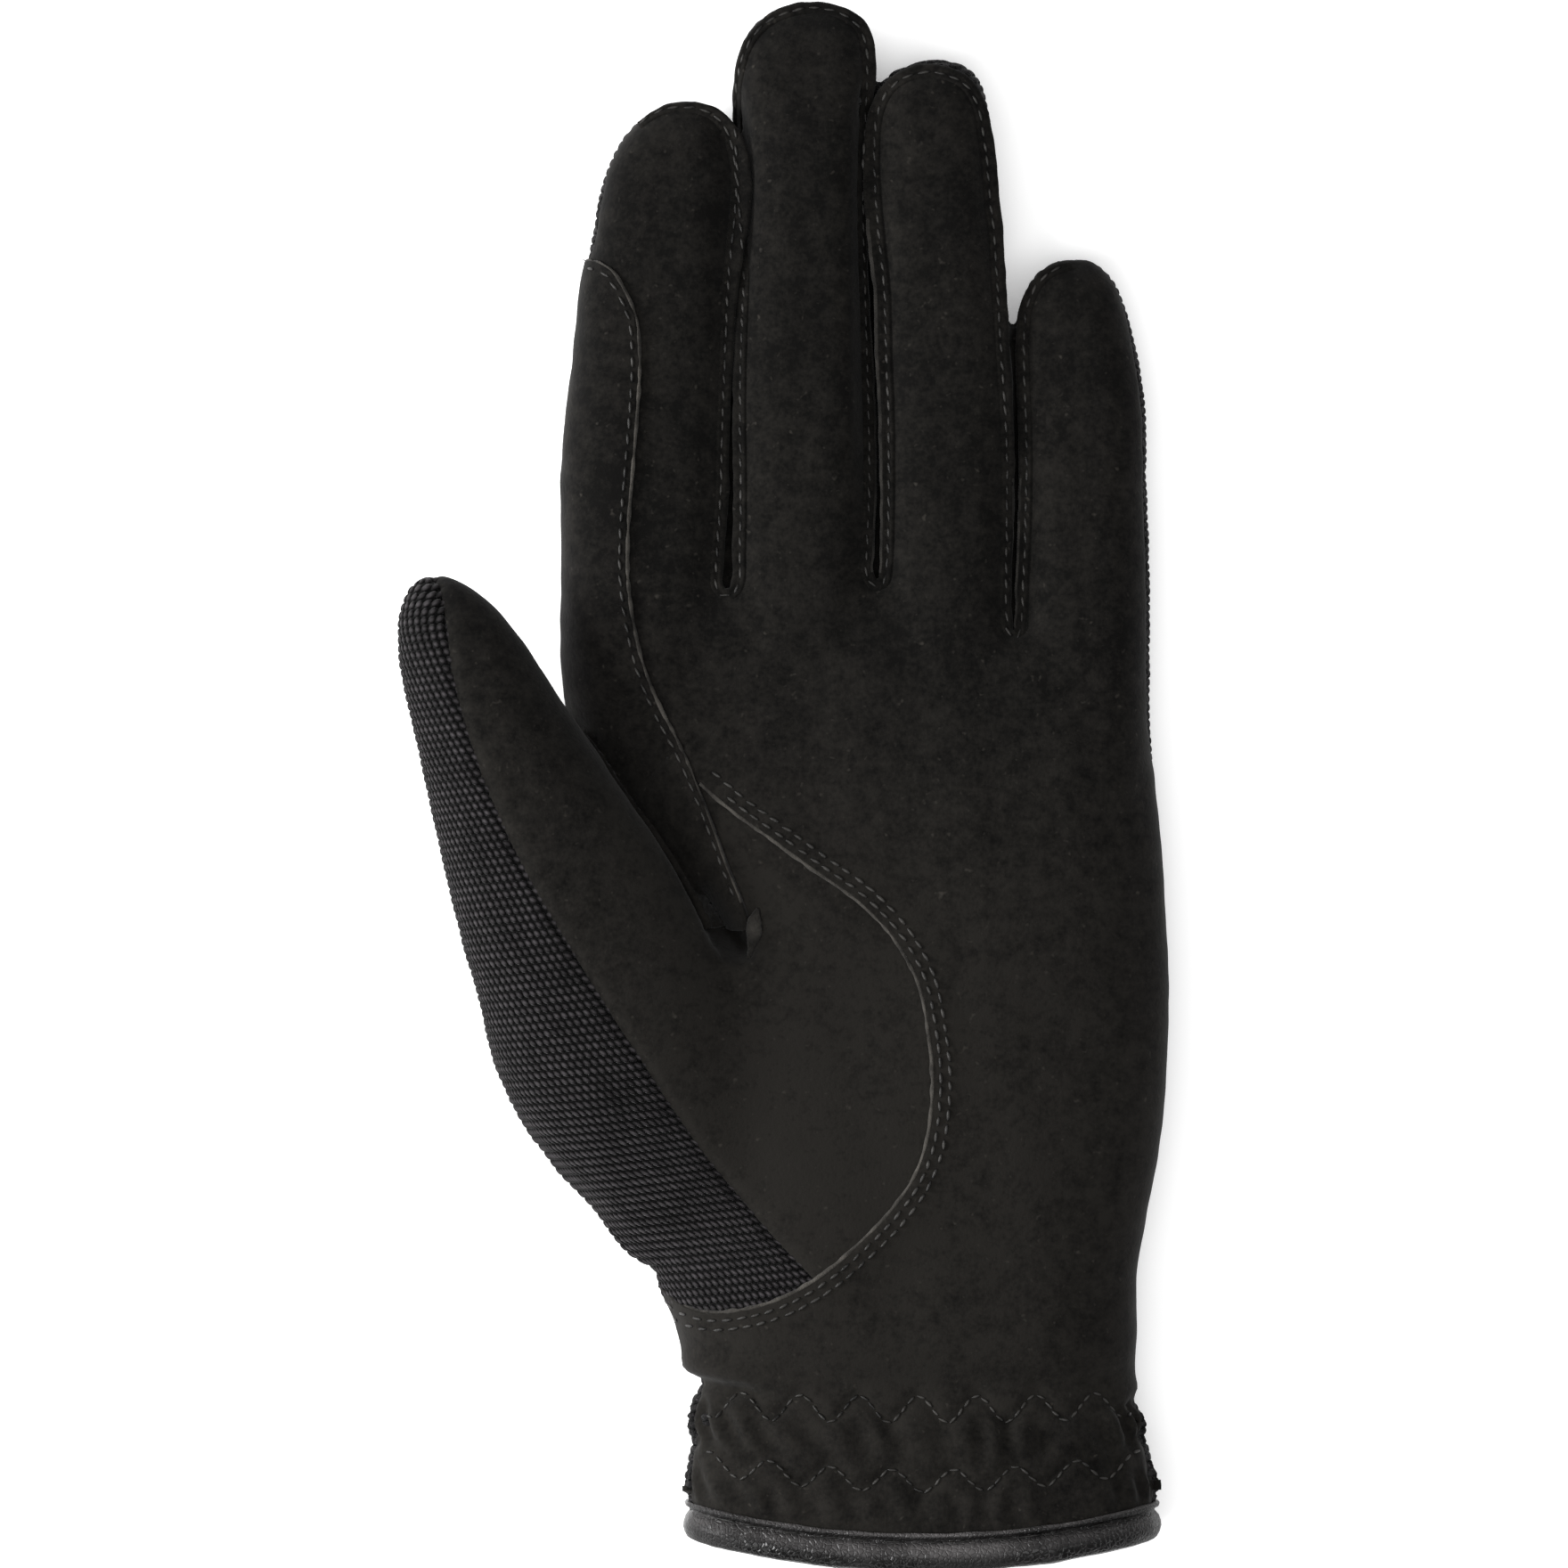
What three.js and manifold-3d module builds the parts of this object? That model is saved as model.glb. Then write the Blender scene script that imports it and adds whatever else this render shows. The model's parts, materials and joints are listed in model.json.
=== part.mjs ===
// A left-hand horse riding glove, lying on its knitted back with the palm up.
// Millimetres, +Z up out of the palm, +Y towards the fingers, thumb towards -X.
// The origin is on the floor under the middle of the glove.
import * as THREE from 'three';
import { mergeVertices } from 'three/addons/utils/BufferGeometryUtils.js';
import Module from 'manifold-3d';

const wasm = await Module();
wasm.setup();

// Driving dimensions.
const WALL = 1.4;              // suede or knit with its backing
const SEAM_GAP = 0.3;          // air between two panels along a seam
const HAND_LENGTH = 143.5;     // hem to the line of the finger roots
const HAND_DEPTH = 26;         // back to palm at the heel of the hand
const HEM_RISE = 4.3;          // how much higher the hem lies at the sides than in the middle
const GATHER_DEPTH = 1.6;      // height of the puckers that the elastic draws up
const BINDING_HEIGHT = 5.6;    // visible height of the leather channel round the hem
const BINDING_WALL = 0.9;      // thickness of its leather
const THUMB_LENGTH = 106;      // thumb from inside the heel of the hand to its tip
const THUMB_WIDTH = 24;        // across the thumb's knuckle
const THUMB_DEPTH = 20;        // thickness of the thumb at its knuckle
const THUMB_SPLAY = 25.8;      // angle between thumb and fingers, degrees

// Fingers from the thumb side outwards: length past the line of the roots, width and depth.
// The gap lies between a finger and the next, and its crotch sits that far under the line.
const FINGERS = {
  index: { length: 72, width: 25.1, depth: 18.5, gap: 1, crotchDrop: 0.8 },
  middle: { length: 86.5, width: 18.8, depth: 18.5, gap: 1.2, crotchDrop: -0.6 },
  ring: { length: 78.1, width: 19.7, depth: 18, gap: 0.8, crotchDrop: 7.1 },
  little: { length: 48.9, width: 19.1, depth: 16.5, gap: 0, crotchDrop: 0 },
};

// Sections of each finger: along in finger lengths, left and right in finger widths,
// bottom and top in finger depths.
const FINGER_ROWS = {
  index: [
    { along: -0.35, left: 0.1, right: 0.96, bottom: 0, top: 1.1 },
    { along: -0.1, left: 0, right: 1, bottom: 0, top: 1.06 },
    { along: 0.2, left: 0, right: 1, bottom: 0, top: 1 },
    { along: 0.4, left: 0.05, right: 1, bottom: 0, top: 0.97 },
    { along: 0.76, left: 0.18, right: 1.01, bottom: 0, top: 0.91 },
    { along: 0.87, left: 0.25, right: 1.01, bottom: 0.02, top: 0.86 },
    { along: 0.94, left: 0.37, right: 0.97, bottom: 0.09, top: 0.77 },
    { along: 0.98, left: 0.5, right: 0.92, bottom: 0.18, top: 0.67 },
    { along: 1, left: 0.61, right: 0.85, bottom: 0.27, top: 0.58 },
  ],
  middle: [
    { along: -0.28, left: 0.04, right: 0.96, bottom: 0, top: 1.12 },
    { along: -0.08, left: 0, right: 1, bottom: 0, top: 1.06 },
    { along: 0.2, left: 0, right: 1, bottom: 0, top: 1 },
    { along: 0.45, left: 0, right: 1, bottom: 0, top: 0.96 },
    { along: 0.7, left: 0, right: 1, bottom: 0, top: 0.93 },
    { along: 0.8, left: -0.02, right: 1.02, bottom: 0, top: 0.92 },
    { along: 0.87, left: -0.05, right: 1.05, bottom: 0.02, top: 0.89 },
    { along: 0.94, left: 0.02, right: 1, bottom: 0.08, top: 0.81 },
    { along: 0.98, left: 0.2, right: 0.86, bottom: 0.17, top: 0.7 },
    { along: 1, left: 0.36, right: 0.7, bottom: 0.27, top: 0.6 },
  ],
  ring: [
    { along: -0.3, left: 0.04, right: 0.96, bottom: 0, top: 1.12 },
    { along: -0.1, left: 0, right: 1, bottom: 0, top: 1.06 },
    { along: 0.2, left: 0, right: 1, bottom: 0, top: 1 },
    { along: 0.45, left: -0.01, right: 0.98, bottom: 0, top: 0.96 },
    { along: 0.7, left: -0.03, right: 0.92, bottom: 0, top: 0.93 },
    { along: 0.82, left: -0.03, right: 0.88, bottom: 0, top: 0.9 },
    { along: 0.91, left: 0.02, right: 0.84, bottom: 0.05, top: 0.84 },
    { along: 0.96, left: 0.07, right: 0.74, bottom: 0.12, top: 0.76 },
    { along: 0.985, left: 0.18, right: 0.64, bottom: 0.2, top: 0.68 },
    { along: 1, left: 0.28, right: 0.54, bottom: 0.28, top: 0.6 },
  ],
  little: [
    { along: -0.62, left: 0.04, right: 0.92, bottom: 0, top: 1.16 },
    { along: -0.3, left: 0, right: 0.99, bottom: 0, top: 1.1 },
    { along: 0.1, left: 0, right: 1, bottom: 0, top: 1 },
    { along: 0.42, left: 0, right: 0.98, bottom: 0, top: 0.96 },
    { along: 0.66, left: 0, right: 0.94, bottom: 0, top: 0.92 },
    { along: 0.81, left: 0.03, right: 0.86, bottom: 0.03, top: 0.87 },
    { along: 0.91, left: 0.1, right: 0.76, bottom: 0.1, top: 0.78 },
    { along: 0.97, left: 0.21, right: 0.65, bottom: 0.18, top: 0.68 },
    { along: 1, left: 0.34, right: 0.53, bottom: 0.28, top: 0.58 },
  ],
};

// Sections of the hand from the hem to the finger roots: along in hand lengths, left and right
// in widths across the finger roots, top in hand depths, gather in gather depths, rise in hem
// rises, and lift, which makes room for the binding under the hem, in binding overhangs.
// The waist at 0.19 and the fullness over it are the fold above the elastic.
const HAND_ROWS = [
  { along: 0, left: 0.221, right: 1.004, top: 1.04, gather: 0, rise: 1, lift: 1 },
  { along: 0.045, left: 0.212, right: 1.013, top: 1.04, gather: 0, rise: 0.9, lift: 1 },
  { along: 0.078, left: 0.207, right: 1.015, top: 1.03, gather: 0.7, rise: 0.75, lift: 0.2 },
  { along: 0.106, left: 0.212, right: 1.008, top: 1, gather: 1, rise: 0.6, lift: 0 },
  { along: 0.133, left: 0.213, right: 1, top: 0.99, gather: 0.5, rise: 0.45, lift: 0 },
  { along: 0.16, left: 0.219, right: 0.984, top: 0.95, gather: 1, rise: 0.3, lift: 0 },
  { along: 0.188, left: 0.222, right: 0.98, top: 0.93, gather: 0.6, rise: 0.15, lift: 0 },
  { along: 0.215, left: 0.204, right: 0.98, top: 0.98, gather: 0.2, rise: 0, lift: 0 },
  { along: 0.28, left: 0.175, right: 0.982, top: 0.97, gather: 0, rise: 0, lift: 0 },
  { along: 0.42, left: 0.12, right: 1.015, top: 1, gather: 0, rise: 0, lift: 0 },
  { along: 0.51, left: 0.085, right: 1.034, top: 1, gather: 0, rise: 0, lift: 0 },
  { along: 0.7, left: 0.056, right: 1.03, top: 0.96, gather: 0, rise: 0, lift: 0 },
  { along: 0.78, left: 0.033, right: 1.015, top: 0.92, gather: 0, rise: 0, lift: 0 },
  { along: 0.87, left: 0.01, right: 1.003, top: 0.84, gather: 0, rise: 0, lift: 0 },
  { along: 0.94, left: 0.005, right: 0.998, top: 0.69, gather: 0, rise: 0, lift: 0 },
  { along: 1.01, left: 0.008, right: 0.992, top: 0.5, gather: 0, rise: 0, lift: 0 },
];

// Sections of the thumb: along in thumb lengths, left and right in thumb widths from its axis,
// bottom and top in thumb depths over the floor.
const THUMB_ROWS = [
  { along: 0, left: -0.58, right: 0.58, bottom: 0.15, top: 1.1 },
  { along: 0.05, left: -0.69, right: 0.67, bottom: 0.11, top: 1.2 },
  { along: 0.11, left: -0.74, right: 0.73, bottom: 0.1, top: 1.3 },
  { along: 0.19, left: -0.85, right: 0.76, bottom: 0.11, top: 1.4 },
  { along: 0.28, left: -0.91, right: 0.77, bottom: 0.16, top: 1.52 },
  { along: 0.36, left: -0.89, right: 0.75, bottom: 0.24, top: 1.6 },
  { along: 0.45, left: -0.82, right: 0.69, bottom: 0.38, top: 1.68 },
  { along: 0.55, left: -0.72, right: 0.6, bottom: 0.52, top: 1.71 },
  { along: 0.65, left: -0.63, right: 0.51, bottom: 0.62, top: 1.69 },
  { along: 0.75, left: -0.55, right: 0.45, bottom: 0.66, top: 1.65 },
  { along: 0.84, left: -0.43, right: 0.41, bottom: 0.7, top: 1.58 },
  { along: 0.9, left: -0.37, right: 0.36, bottom: 0.74, top: 1.51 },
  { along: 0.95, left: -0.28, right: 0.28, bottom: 0.82, top: 1.42 },
  { along: 0.985, left: -0.18, right: 0.16, bottom: 0.93, top: 1.32 },
  { along: 1, left: -0.1, right: 0.08, bottom: 1.02, top: 1.23 },
];

// Where the thumb's axis starts, in widths across the finger roots, and hand lengths.
const THUMB_START = { across: 0.3, along: 0.345 };

// Edge of the thumb hole in the palm, from the index side round the heel of the hand to the
// thumb side, in widths across the finger roots and hand lengths.
const THUMB_HOLE_ROWS = [
  { across: 0.22, along: 0.815 },
  { across: 0.42, along: 0.716 },
  { across: 0.57, along: 0.64 },
  { across: 0.63, along: 0.51 },
  { across: 0.6, along: 0.4 },
  { across: 0.437, along: 0.295 },
  { across: 0.24, along: 0.263 },
  { across: 0.12, along: 0.3 },
];

// Seam between the knitted and the suede side of the thumb, from past its tip to the heel.
const THUMB_SEAM_ROWS = [
  { across: -0.2, along: 1.1 },
  { across: -0.2, along: 0.93 },
  { across: -0.16, along: 0.84 },
  { across: -0.045, along: 0.69 },
  { across: 0.09, along: 0.565 },
  { across: 0.305, along: 0.377 },
  { across: 0.44, along: 0.29 },
  { across: 0.5, along: 0.2 },
];

// Inner edge of the index guard, from its upper end to the thumb crotch, in index widths from
// the finger's outer side and index lengths from the finger roots.
const GUARD_ROWS = [
  { across: -0.2, along: 0.68 },
  { across: 0.2, along: 0.67 },
  { across: 0.41, along: 0.56 },
  { across: 0.44, along: 0.48 },
  { across: 0.4, along: 0.23 },
  { across: 0.375, along: 0.06 },
  { across: 0.41, along: -0.07 },
  { across: 0.58, along: -0.25 },
  { across: 0.78, along: -0.39 },
  { across: 0.96, along: -0.56 },
  { across: 1.05, along: -0.66 },
];

// Height of the seam between palm and back along each side of the hand: along in hand lengths,
// height in hand depths.
const THUMB_SIDE_SEAM = [
  { along: -0.1, height: 0.62 },
  { along: 0.16, height: 0.6 },
  { along: 0.24, height: 0.27 },
  { along: 0.4, height: 0.27 },
  { along: 0.5, height: 0.36 },
  { along: 0.8, height: 0.36 },
  { along: 1, height: 0.27 },
  { along: 1.33, height: 0.27 },
  { along: 1.36, height: 0.42 },
  { along: 1.42, height: 0.33 },
  { along: 1.7, height: 0.29 },
];
const LITTLE_SIDE_SEAM = [
  { along: -0.1, height: 0.62 },
  { along: 0.14, height: 0.6 },
  { along: 0.2, height: 0.26 },
  { along: 0.78, height: 0.26 },
  { along: 0.86, height: 0.45 },
  { along: 1.2, height: 0.42 },
  { along: 1.34, height: 0.29 },
  { along: 1.7, height: 0.29 },
];

// Heights of the seams that bound each strip between two fingers, in finger depths, how far it
// reaches under the crotch, where it starts to narrow and where it ends, in finger lengths.
const FOURCHETTE = { low: 0.28, high: 0.72, under: 3, shoulder: 0.8, point: 0.94, middle: 0.48 };

const GUARD_FLOOR = 0.22;        // lower edge of the guard, in hand depths
const THUMB_HOLE_FLOOR = 0.45;   // lowest level of the thumb hole in the palm, in hand depths

// Seam along the thumb's underside: along in hand lengths, height in thumb depths.
const THUMB_UNDER_SEAM = [
  { along: 0, height: 0.6 },
  { along: 0.6, height: 0.6 },
  { along: 0.64, height: 0.95 },
  { along: 0.75, height: 1.12 },
  { along: 1.2, height: 1.12 },
];

// Shape of a section: radius of its upper and lower corners and rise of its dome, in heights.
const SECTION = { upper: 0.5, lower: 0.42, dome: 0.07 };

const HAND_STEPS = { flat: 12, corner: 3 };
const FINGER_STEPS = { flat: 3, corner: 3 };
const THUMB_STEPS = { flat: 3, corner: 4 };
const CURVE_STEPS = 14;
const SLOT_EASE = 0.1;           // how far the hand stands back from the sides of the finger roots
const TIP_SHARE = 1.3;           // wall at a fingertip, in walls
const BEYOND = 100;              // how far a cutting solid runs past what it cuts

// Places of the fingers across the roots, from the thumb side of the index finger.
const fingerNames = Object.keys(FINGERS);
const rootLeft = {};
let knuckleWidth = 0;
for (const name of fingerNames) {
  rootLeft[name] = knuckleWidth;
  knuckleWidth += FINGERS[name].width + FINGERS[name].gap;
}
const overhang = BINDING_WALL + SEAM_GAP;
const farSide = knuckleWidth + BEYOND;
const farEnd = HAND_LENGTH + 2 * BEYOND;

const onHand = (row) => new THREE.Vector2(row.across * knuckleWidth, row.along * HAND_LENGTH);

// Turns a closed geometry into a solid that can be joined and cut.
function solid(geometry) {
  geometry.deleteAttribute('normal');
  geometry.deleteAttribute('uv');
  const merged = mergeVertices(geometry, 1e-5);
  return new wasm.Manifold(new wasm.Mesh({
    numProp: 3,
    vertProperties: new Float32Array(merged.attributes.position.array),
    triVerts: new Uint32Array(merged.index.array),
  }));
}

const join = (solids) => solids.reduce((whole, next) => whole.add(next));

// Points of one section in its own plane: flat below, round at the sides, domed above. A point
// of the dome has a crest of one half or minus one half in turn, which the gathers follow.
function sectionPoints(box, steps) {
  const height = box.top - box.bottom;
  const width = box.right - box.left;
  const upper = Math.min(SECTION.upper * height, width / 2);
  const lower = Math.min(SECTION.lower * height, width / 2);
  const dome = SECTION.dome * height;
  const shoulder = box.top - dome;
  const points = [];
  const arc = (x, z, radius, rise, from) => {
    for (let i = 0; i < steps.corner; i += 1) {
      const angle = from + (Math.PI / 2) * (i / steps.corner);
      points.push({ x: x + radius * Math.cos(angle), z: z + rise * Math.sin(angle), crest: 0 });
    }
  };
  const upperRise = Math.min(upper, shoulder - box.bottom - lower);
  for (let i = 0; i < steps.flat; i += 1) {
    const x = box.left + lower + (width - 2 * lower) * (i / steps.flat);
    points.push({ x, z: box.bottom, crest: 0 });
  }
  arc(box.right - lower, box.bottom + lower, lower, lower, -Math.PI / 2);
  arc(box.right - upper, shoulder - upperRise, upper, upperRise, 0);
  for (let i = 0; i < steps.flat; i += 1) {
    const share = 1 - i / steps.flat;
    const x = box.left + upper + (width - 2 * upper) * share;
    const z = shoulder + dome * (1 - (2 * share - 1) ** 2);
    points.push({ x, z, crest: (i % 2) - 0.5 });
  }
  arc(box.left + upper, shoulder - upperRise, upper, upperRise, Math.PI / 2);
  arc(box.left + lower, box.bottom + lower, lower, lower, Math.PI);
  return points;
}

// Skins rings of points that have the same count, with a fan over each end.
function loft(rings) {
  const count = rings[0].length;
  const positions = rings.flat().flatMap((point) => [point.x, point.y, point.z]);
  const faces = [];
  const at = (ring, i) => ring * count + (i % count);
  for (let ring = 0; ring + 1 < rings.length; ring += 1) {
    for (let i = 0; i < count; i += 1) {
      faces.push(at(ring, i), at(ring + 1, i), at(ring + 1, i + 1));
      faces.push(at(ring, i), at(ring + 1, i + 1), at(ring, i + 1));
    }
  }
  for (const ring of [0, rings.length - 1]) {
    const middle = new THREE.Vector3();
    for (const point of rings[ring]) middle.addScaledVector(point, 1 / count);
    const centre = positions.length / 3;
    positions.push(middle.x, middle.y, middle.z);
    for (let i = 0; i < count; i += 1) {
      if (ring === 0) faces.push(centre, at(ring, i), at(ring, i + 1));
      else faces.push(centre, at(ring, i + 1), at(ring, i));
    }
  }
  const geometry = new THREE.BufferGeometry();
  geometry.setAttribute('position', new THREE.Float32BufferAttribute(positions, 3));
  geometry.setIndex(faces);
  return solid(geometry);
}

// A row of a table at a place between its rows.
function rowAt(rows, along) {
  const above = rows.findIndex((row) => row.along > along);
  if (above === 0) return { ...rows[0], along };
  if (above < 0) return { ...rows[rows.length - 1], along };
  const low = rows[above - 1];
  const high = rows[above];
  const share = (along - low.along) / (high.along - low.along);
  const row = {};
  for (const key of Object.keys(low)) row[key] = low[key] + (high[key] - low[key]) * share;
  return row;
}

// The hand between two lengths from the hem, with its surface pushed out by grow.
function hand(grow, from, to) {
  const between = HAND_ROWS.map((row) => row.along * HAND_LENGTH).filter((y) => y > from && y < to);
  return loft([from, ...between, to].map((y) => {
    const row = rowAt(HAND_ROWS, y / HAND_LENGTH);
    const box = {
      left: row.left * knuckleWidth - grow,
      right: row.right * knuckleWidth + grow,
      bottom: row.lift * overhang - grow,
      top: row.top * HAND_DEPTH + grow,
    };
    return sectionPoints(box, HAND_STEPS).map((point) => {
      const share = (2 * (point.x - box.left)) / (box.right - box.left) - 1;
      const rise = share * share * row.rise * HEM_RISE;
      const gather = point.crest * row.gather * GATHER_DEPTH;
      return new THREE.Vector3(point.x, y + rise, point.z + gather);
    });
  }));
}

// A finger from inside the hand to its tip, with its surface pushed out by grow.
function finger(name, grow) {
  const { length, width, depth } = FINGERS[name];
  const reach = length + grow * TIP_SHARE;
  return loft(FINGER_ROWS[name].map((row) => {
    const box = {
      left: rootLeft[name] + row.left * width - grow,
      right: rootLeft[name] + row.right * width + grow,
      bottom: row.bottom * depth - grow,
      top: row.top * depth + grow,
    };
    const y = HAND_LENGTH + row.along * (row.along > 0 ? reach : length);
    return sectionPoints(box, FINGER_STEPS).map((point) => new THREE.Vector3(point.x, y, point.z));
  }));
}

// The thumb from the heel of the hand to its tip, with its surface pushed out by grow.
function thumb(grow) {
  const splay = THREE.MathUtils.degToRad(THUMB_SPLAY);
  const along = new THREE.Vector3(-Math.sin(splay), Math.cos(splay), 0);
  const across = new THREE.Vector3(Math.cos(splay), Math.sin(splay), 0);
  const start = onHand(THUMB_START);
  const reach = THUMB_LENGTH + grow * TIP_SHARE;
  return loft(THUMB_ROWS.map((row) => {
    const box = {
      left: row.left * THUMB_WIDTH - grow,
      right: row.right * THUMB_WIDTH + grow,
      bottom: row.bottom * THUMB_DEPTH - grow,
      top: row.top * THUMB_DEPTH + grow,
    };
    return sectionPoints(box, THUMB_STEPS).map((point) => new THREE.Vector3(start.x, start.y, 0)
      .addScaledVector(along, row.along * reach)
      .addScaledVector(across, point.x)
      .setZ(point.z));
  }));
}

// Pushes the edges of an outline outwards by a distance. Its points run clockwise.
function grown(outline, distance) {
  const count = outline.length;
  return outline.map((point, i) => {
    const before = outline[(i + count - 1) % count];
    const after = outline[(i + 1) % count];
    const first = point.clone().sub(before).normalize();
    const second = after.clone().sub(point).normalize();
    const out = new THREE.Vector2(-first.y - second.y, first.x + second.x).normalize();
    const stretch = out.x * -first.y + out.y * first.x;
    return point.clone().addScaledVector(out, distance / stretch);
  });
}

// A smooth line of points through a few.
function smoothLine(points) {
  const knots = points.map((point) => new THREE.Vector3(point.x, point.y, 0));
  const curve = new THREE.CatmullRomCurve3(knots, false, 'centripetal');
  return curve.getPoints(CURVE_STEPS).map((point) => new THREE.Vector2(point.x, point.y));
}

// A prism over an outline drawn from above, between two heights.
function upright(outline, low, high) {
  const shape = new THREE.Shape(outline);
  const geometry = new THREE.ExtrudeGeometry(shape, { depth: high - low, bevelEnabled: false });
  return solid(geometry.translate(0, 0, low));
}

// A prism over an outline drawn from the side, of lengths and heights, between two places across.
function sideways(outline, left, right) {
  const shape = new THREE.Shape(outline);
  const geometry = new THREE.ExtrudeGeometry(shape, { depth: right - left, bevelEnabled: false });
  const turn = new THREE.Matrix4().makeBasis(
    new THREE.Vector3(0, 1, 0),
    new THREE.Vector3(0, 0, 1),
    new THREE.Vector3(1, 0, 0),
  );
  return solid(geometry.translate(0, 0, left).applyMatrix4(turn));
}

// All that lies on the thumb side of a line drawn on the palm from the fingers to the heel.
function thumbSideOf(line, grow, low, high) {
  const last = line[line.length - 1];
  const outline = [...line, new THREE.Vector2(-BEYOND, last.y), new THREE.Vector2(-BEYOND, line[0].y)];
  return upright(grown(outline, grow), low, high);
}

// All that lies under a seam along one side of the hand.
function under(rows, depth, grow, left, right) {
  const line = rows.map((row) => new THREE.Vector2(row.along * HAND_LENGTH, row.height * depth));
  const last = line[line.length - 1];
  const outline = [...line, new THREE.Vector2(last.x, -BEYOND), new THREE.Vector2(line[0].x, -BEYOND)];
  return sideways(grown(outline, grow), left, right);
}

// The side of a finger between the seams of the strip there, between two places across.
function fingerSide(name, crotch, grow, left, right) {
  const { length, depth } = FINGERS[name];
  const start = crotch - FOURCHETTE.under;
  const shoulder = HAND_LENGTH + FOURCHETTE.shoulder * length;
  const outline = [
    new THREE.Vector2(start, FOURCHETTE.high * depth),
    new THREE.Vector2(shoulder, FOURCHETTE.high * depth),
    new THREE.Vector2(HAND_LENGTH + FOURCHETTE.point * length, FOURCHETTE.middle * depth),
    new THREE.Vector2(shoulder, FOURCHETTE.low * depth),
    new THREE.Vector2(start, FOURCHETTE.low * depth),
  ];
  return sideways(grown(outline, grow), left, right);
}

// The middle of a fingertip.
function tipCentre(name) {
  const tip = FINGER_ROWS[name][FINGER_ROWS[name].length - 1];
  return rootLeft[name] + ((tip.left + tip.right) / 2) * FINGERS[name].width;
}

// Each crotch: the slot between two fingers, the post of wall round it, and its strip.
const crotches = fingerNames.slice(0, -1).map((name, i) => {
  const next = fingerNames[i + 1];
  const left = rootLeft[name] + FINGERS[name].width;
  const right = rootLeft[next];
  const y = HAND_LENGTH - FINGERS[name].crotchDrop;
  const block = (grow, from) => upright([
    new THREE.Vector2(left - grow, from),
    new THREE.Vector2(right + grow, from),
    new THREE.Vector2(right + grow, farEnd),
    new THREE.Vector2(left - grow, farEnd),
  ], -BEYOND, BEYOND);
  const strip = (grow) => fingerSide(name, y, grow, tipCentre(name), right)
    .add(fingerSide(next, y, grow, left - WALL, tipCentre(next)));
  return {
    name: `fourchette_${name}_${next}`,
    y,
    slot: block(SLOT_EASE, y),
    post: block(WALL, y - WALL),
    strip,
  };
});
const rootEnd = Math.max(...crotches.map((crotch) => crotch.y));

// The whole shell, before it is cut into panels.
function shell() {
  let form = hand(0, overhang, rootEnd);
  let hollow = hand(-WALL, -BEYOND, rootEnd - WALL);
  for (const crotch of crotches) {
    form = form.subtract(crotch.slot);
    hollow = hollow.subtract(crotch.post);
  }
  form = join([form, thumb(0), ...fingerNames.map((name) => finger(name, 0))]);
  hollow = join([hollow, thumb(-WALL), ...fingerNames.map((name) => finger(name, -WALL))]);
  return form.subtract(hollow);
}

const guardLine = GUARD_ROWS.map((row) => new THREE.Vector2(
  row.across * FINGERS.index.width,
  HAND_LENGTH + row.along * FINGERS.index.length,
));
const holeLine = smoothLine(THUMB_HOLE_ROWS.map(onHand));
const thumbSeamLine = smoothLine(THUMB_SEAM_ROWS.map(onHand));

const guardSide = (grow) => thumbSideOf(guardLine, grow, GUARD_FLOOR * HAND_DEPTH - grow, BEYOND);
const holeSide = (grow) => thumbSideOf(holeLine, grow, THUMB_HOLE_FLOOR * HAND_DEPTH - grow, BEYOND);
const thumbUnderside = (grow) => under(THUMB_UNDER_SEAM, THUMB_DEPTH, grow, -BEYOND, farSide)
  .intersect(thumb(SEAM_GAP + grow));
const knitThumbSide = (grow) => thumbSideOf(thumbSeamLine, grow, -BEYOND, BEYOND)
  .add(thumbUnderside(grow));
const backSide = (grow) => under(THUMB_SIDE_SEAM, HAND_DEPTH, grow, -BEYOND, rootLeft.ring)
  .add(under(LITTLE_SIDE_SEAM, HAND_DEPTH, grow, rootLeft.ring, farSide));

// Cuts a body in two along a region, half the seam gap from it on each side.
const half = SEAM_GAP / 2;
const within = (body, region) => body.intersect(region(-half));
const without = (body, region) => body.subtract(region(half));

// The leather channel: a ring round the hem with a slot for the wall.
function binding() {
  const inner = WALL + SEAM_GAP;
  const ring = hand(overhang, 0, BINDING_HEIGHT)
    .subtract(hand(-inner - BINDING_WALL, -BEYOND, BEYOND));
  const slot = hand(SEAM_GAP, BINDING_WALL, BEYOND).subtract(hand(-inner, -BEYOND, BEYOND));
  return ring.subtract(slot);
}

// The panels. The thumb is a tube that passes through the hand's wall, with the gusset that
// fills the thumb hole round it.
const whole = shell();
const handOnly = without(whole, (grow) => thumb(SEAM_GAP + grow));
const thumbTube = within(whole, (grow) => thumb(SEAM_GAP + grow));
const gusset = without(within(whole, holeSide), guardSide);
const thumbWhole = thumbTube.add(gusset);
const panels = {
  index_guard: within(handOnly, guardSide),
  thumb_front: without(thumbWhole, knitThumbSide),
  thumb_back: within(thumbWhole, knitThumbSide),
  hem_binding: binding(),
};
let rest = without(without(handOnly, guardSide), holeSide);
for (const crotch of crotches) {
  panels[crotch.name] = within(rest, crotch.strip);
  rest = without(rest, crotch.strip);
}
panels.back_panel = within(rest, backSide);
panels.palm_panel = without(rest, backSide);

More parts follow.
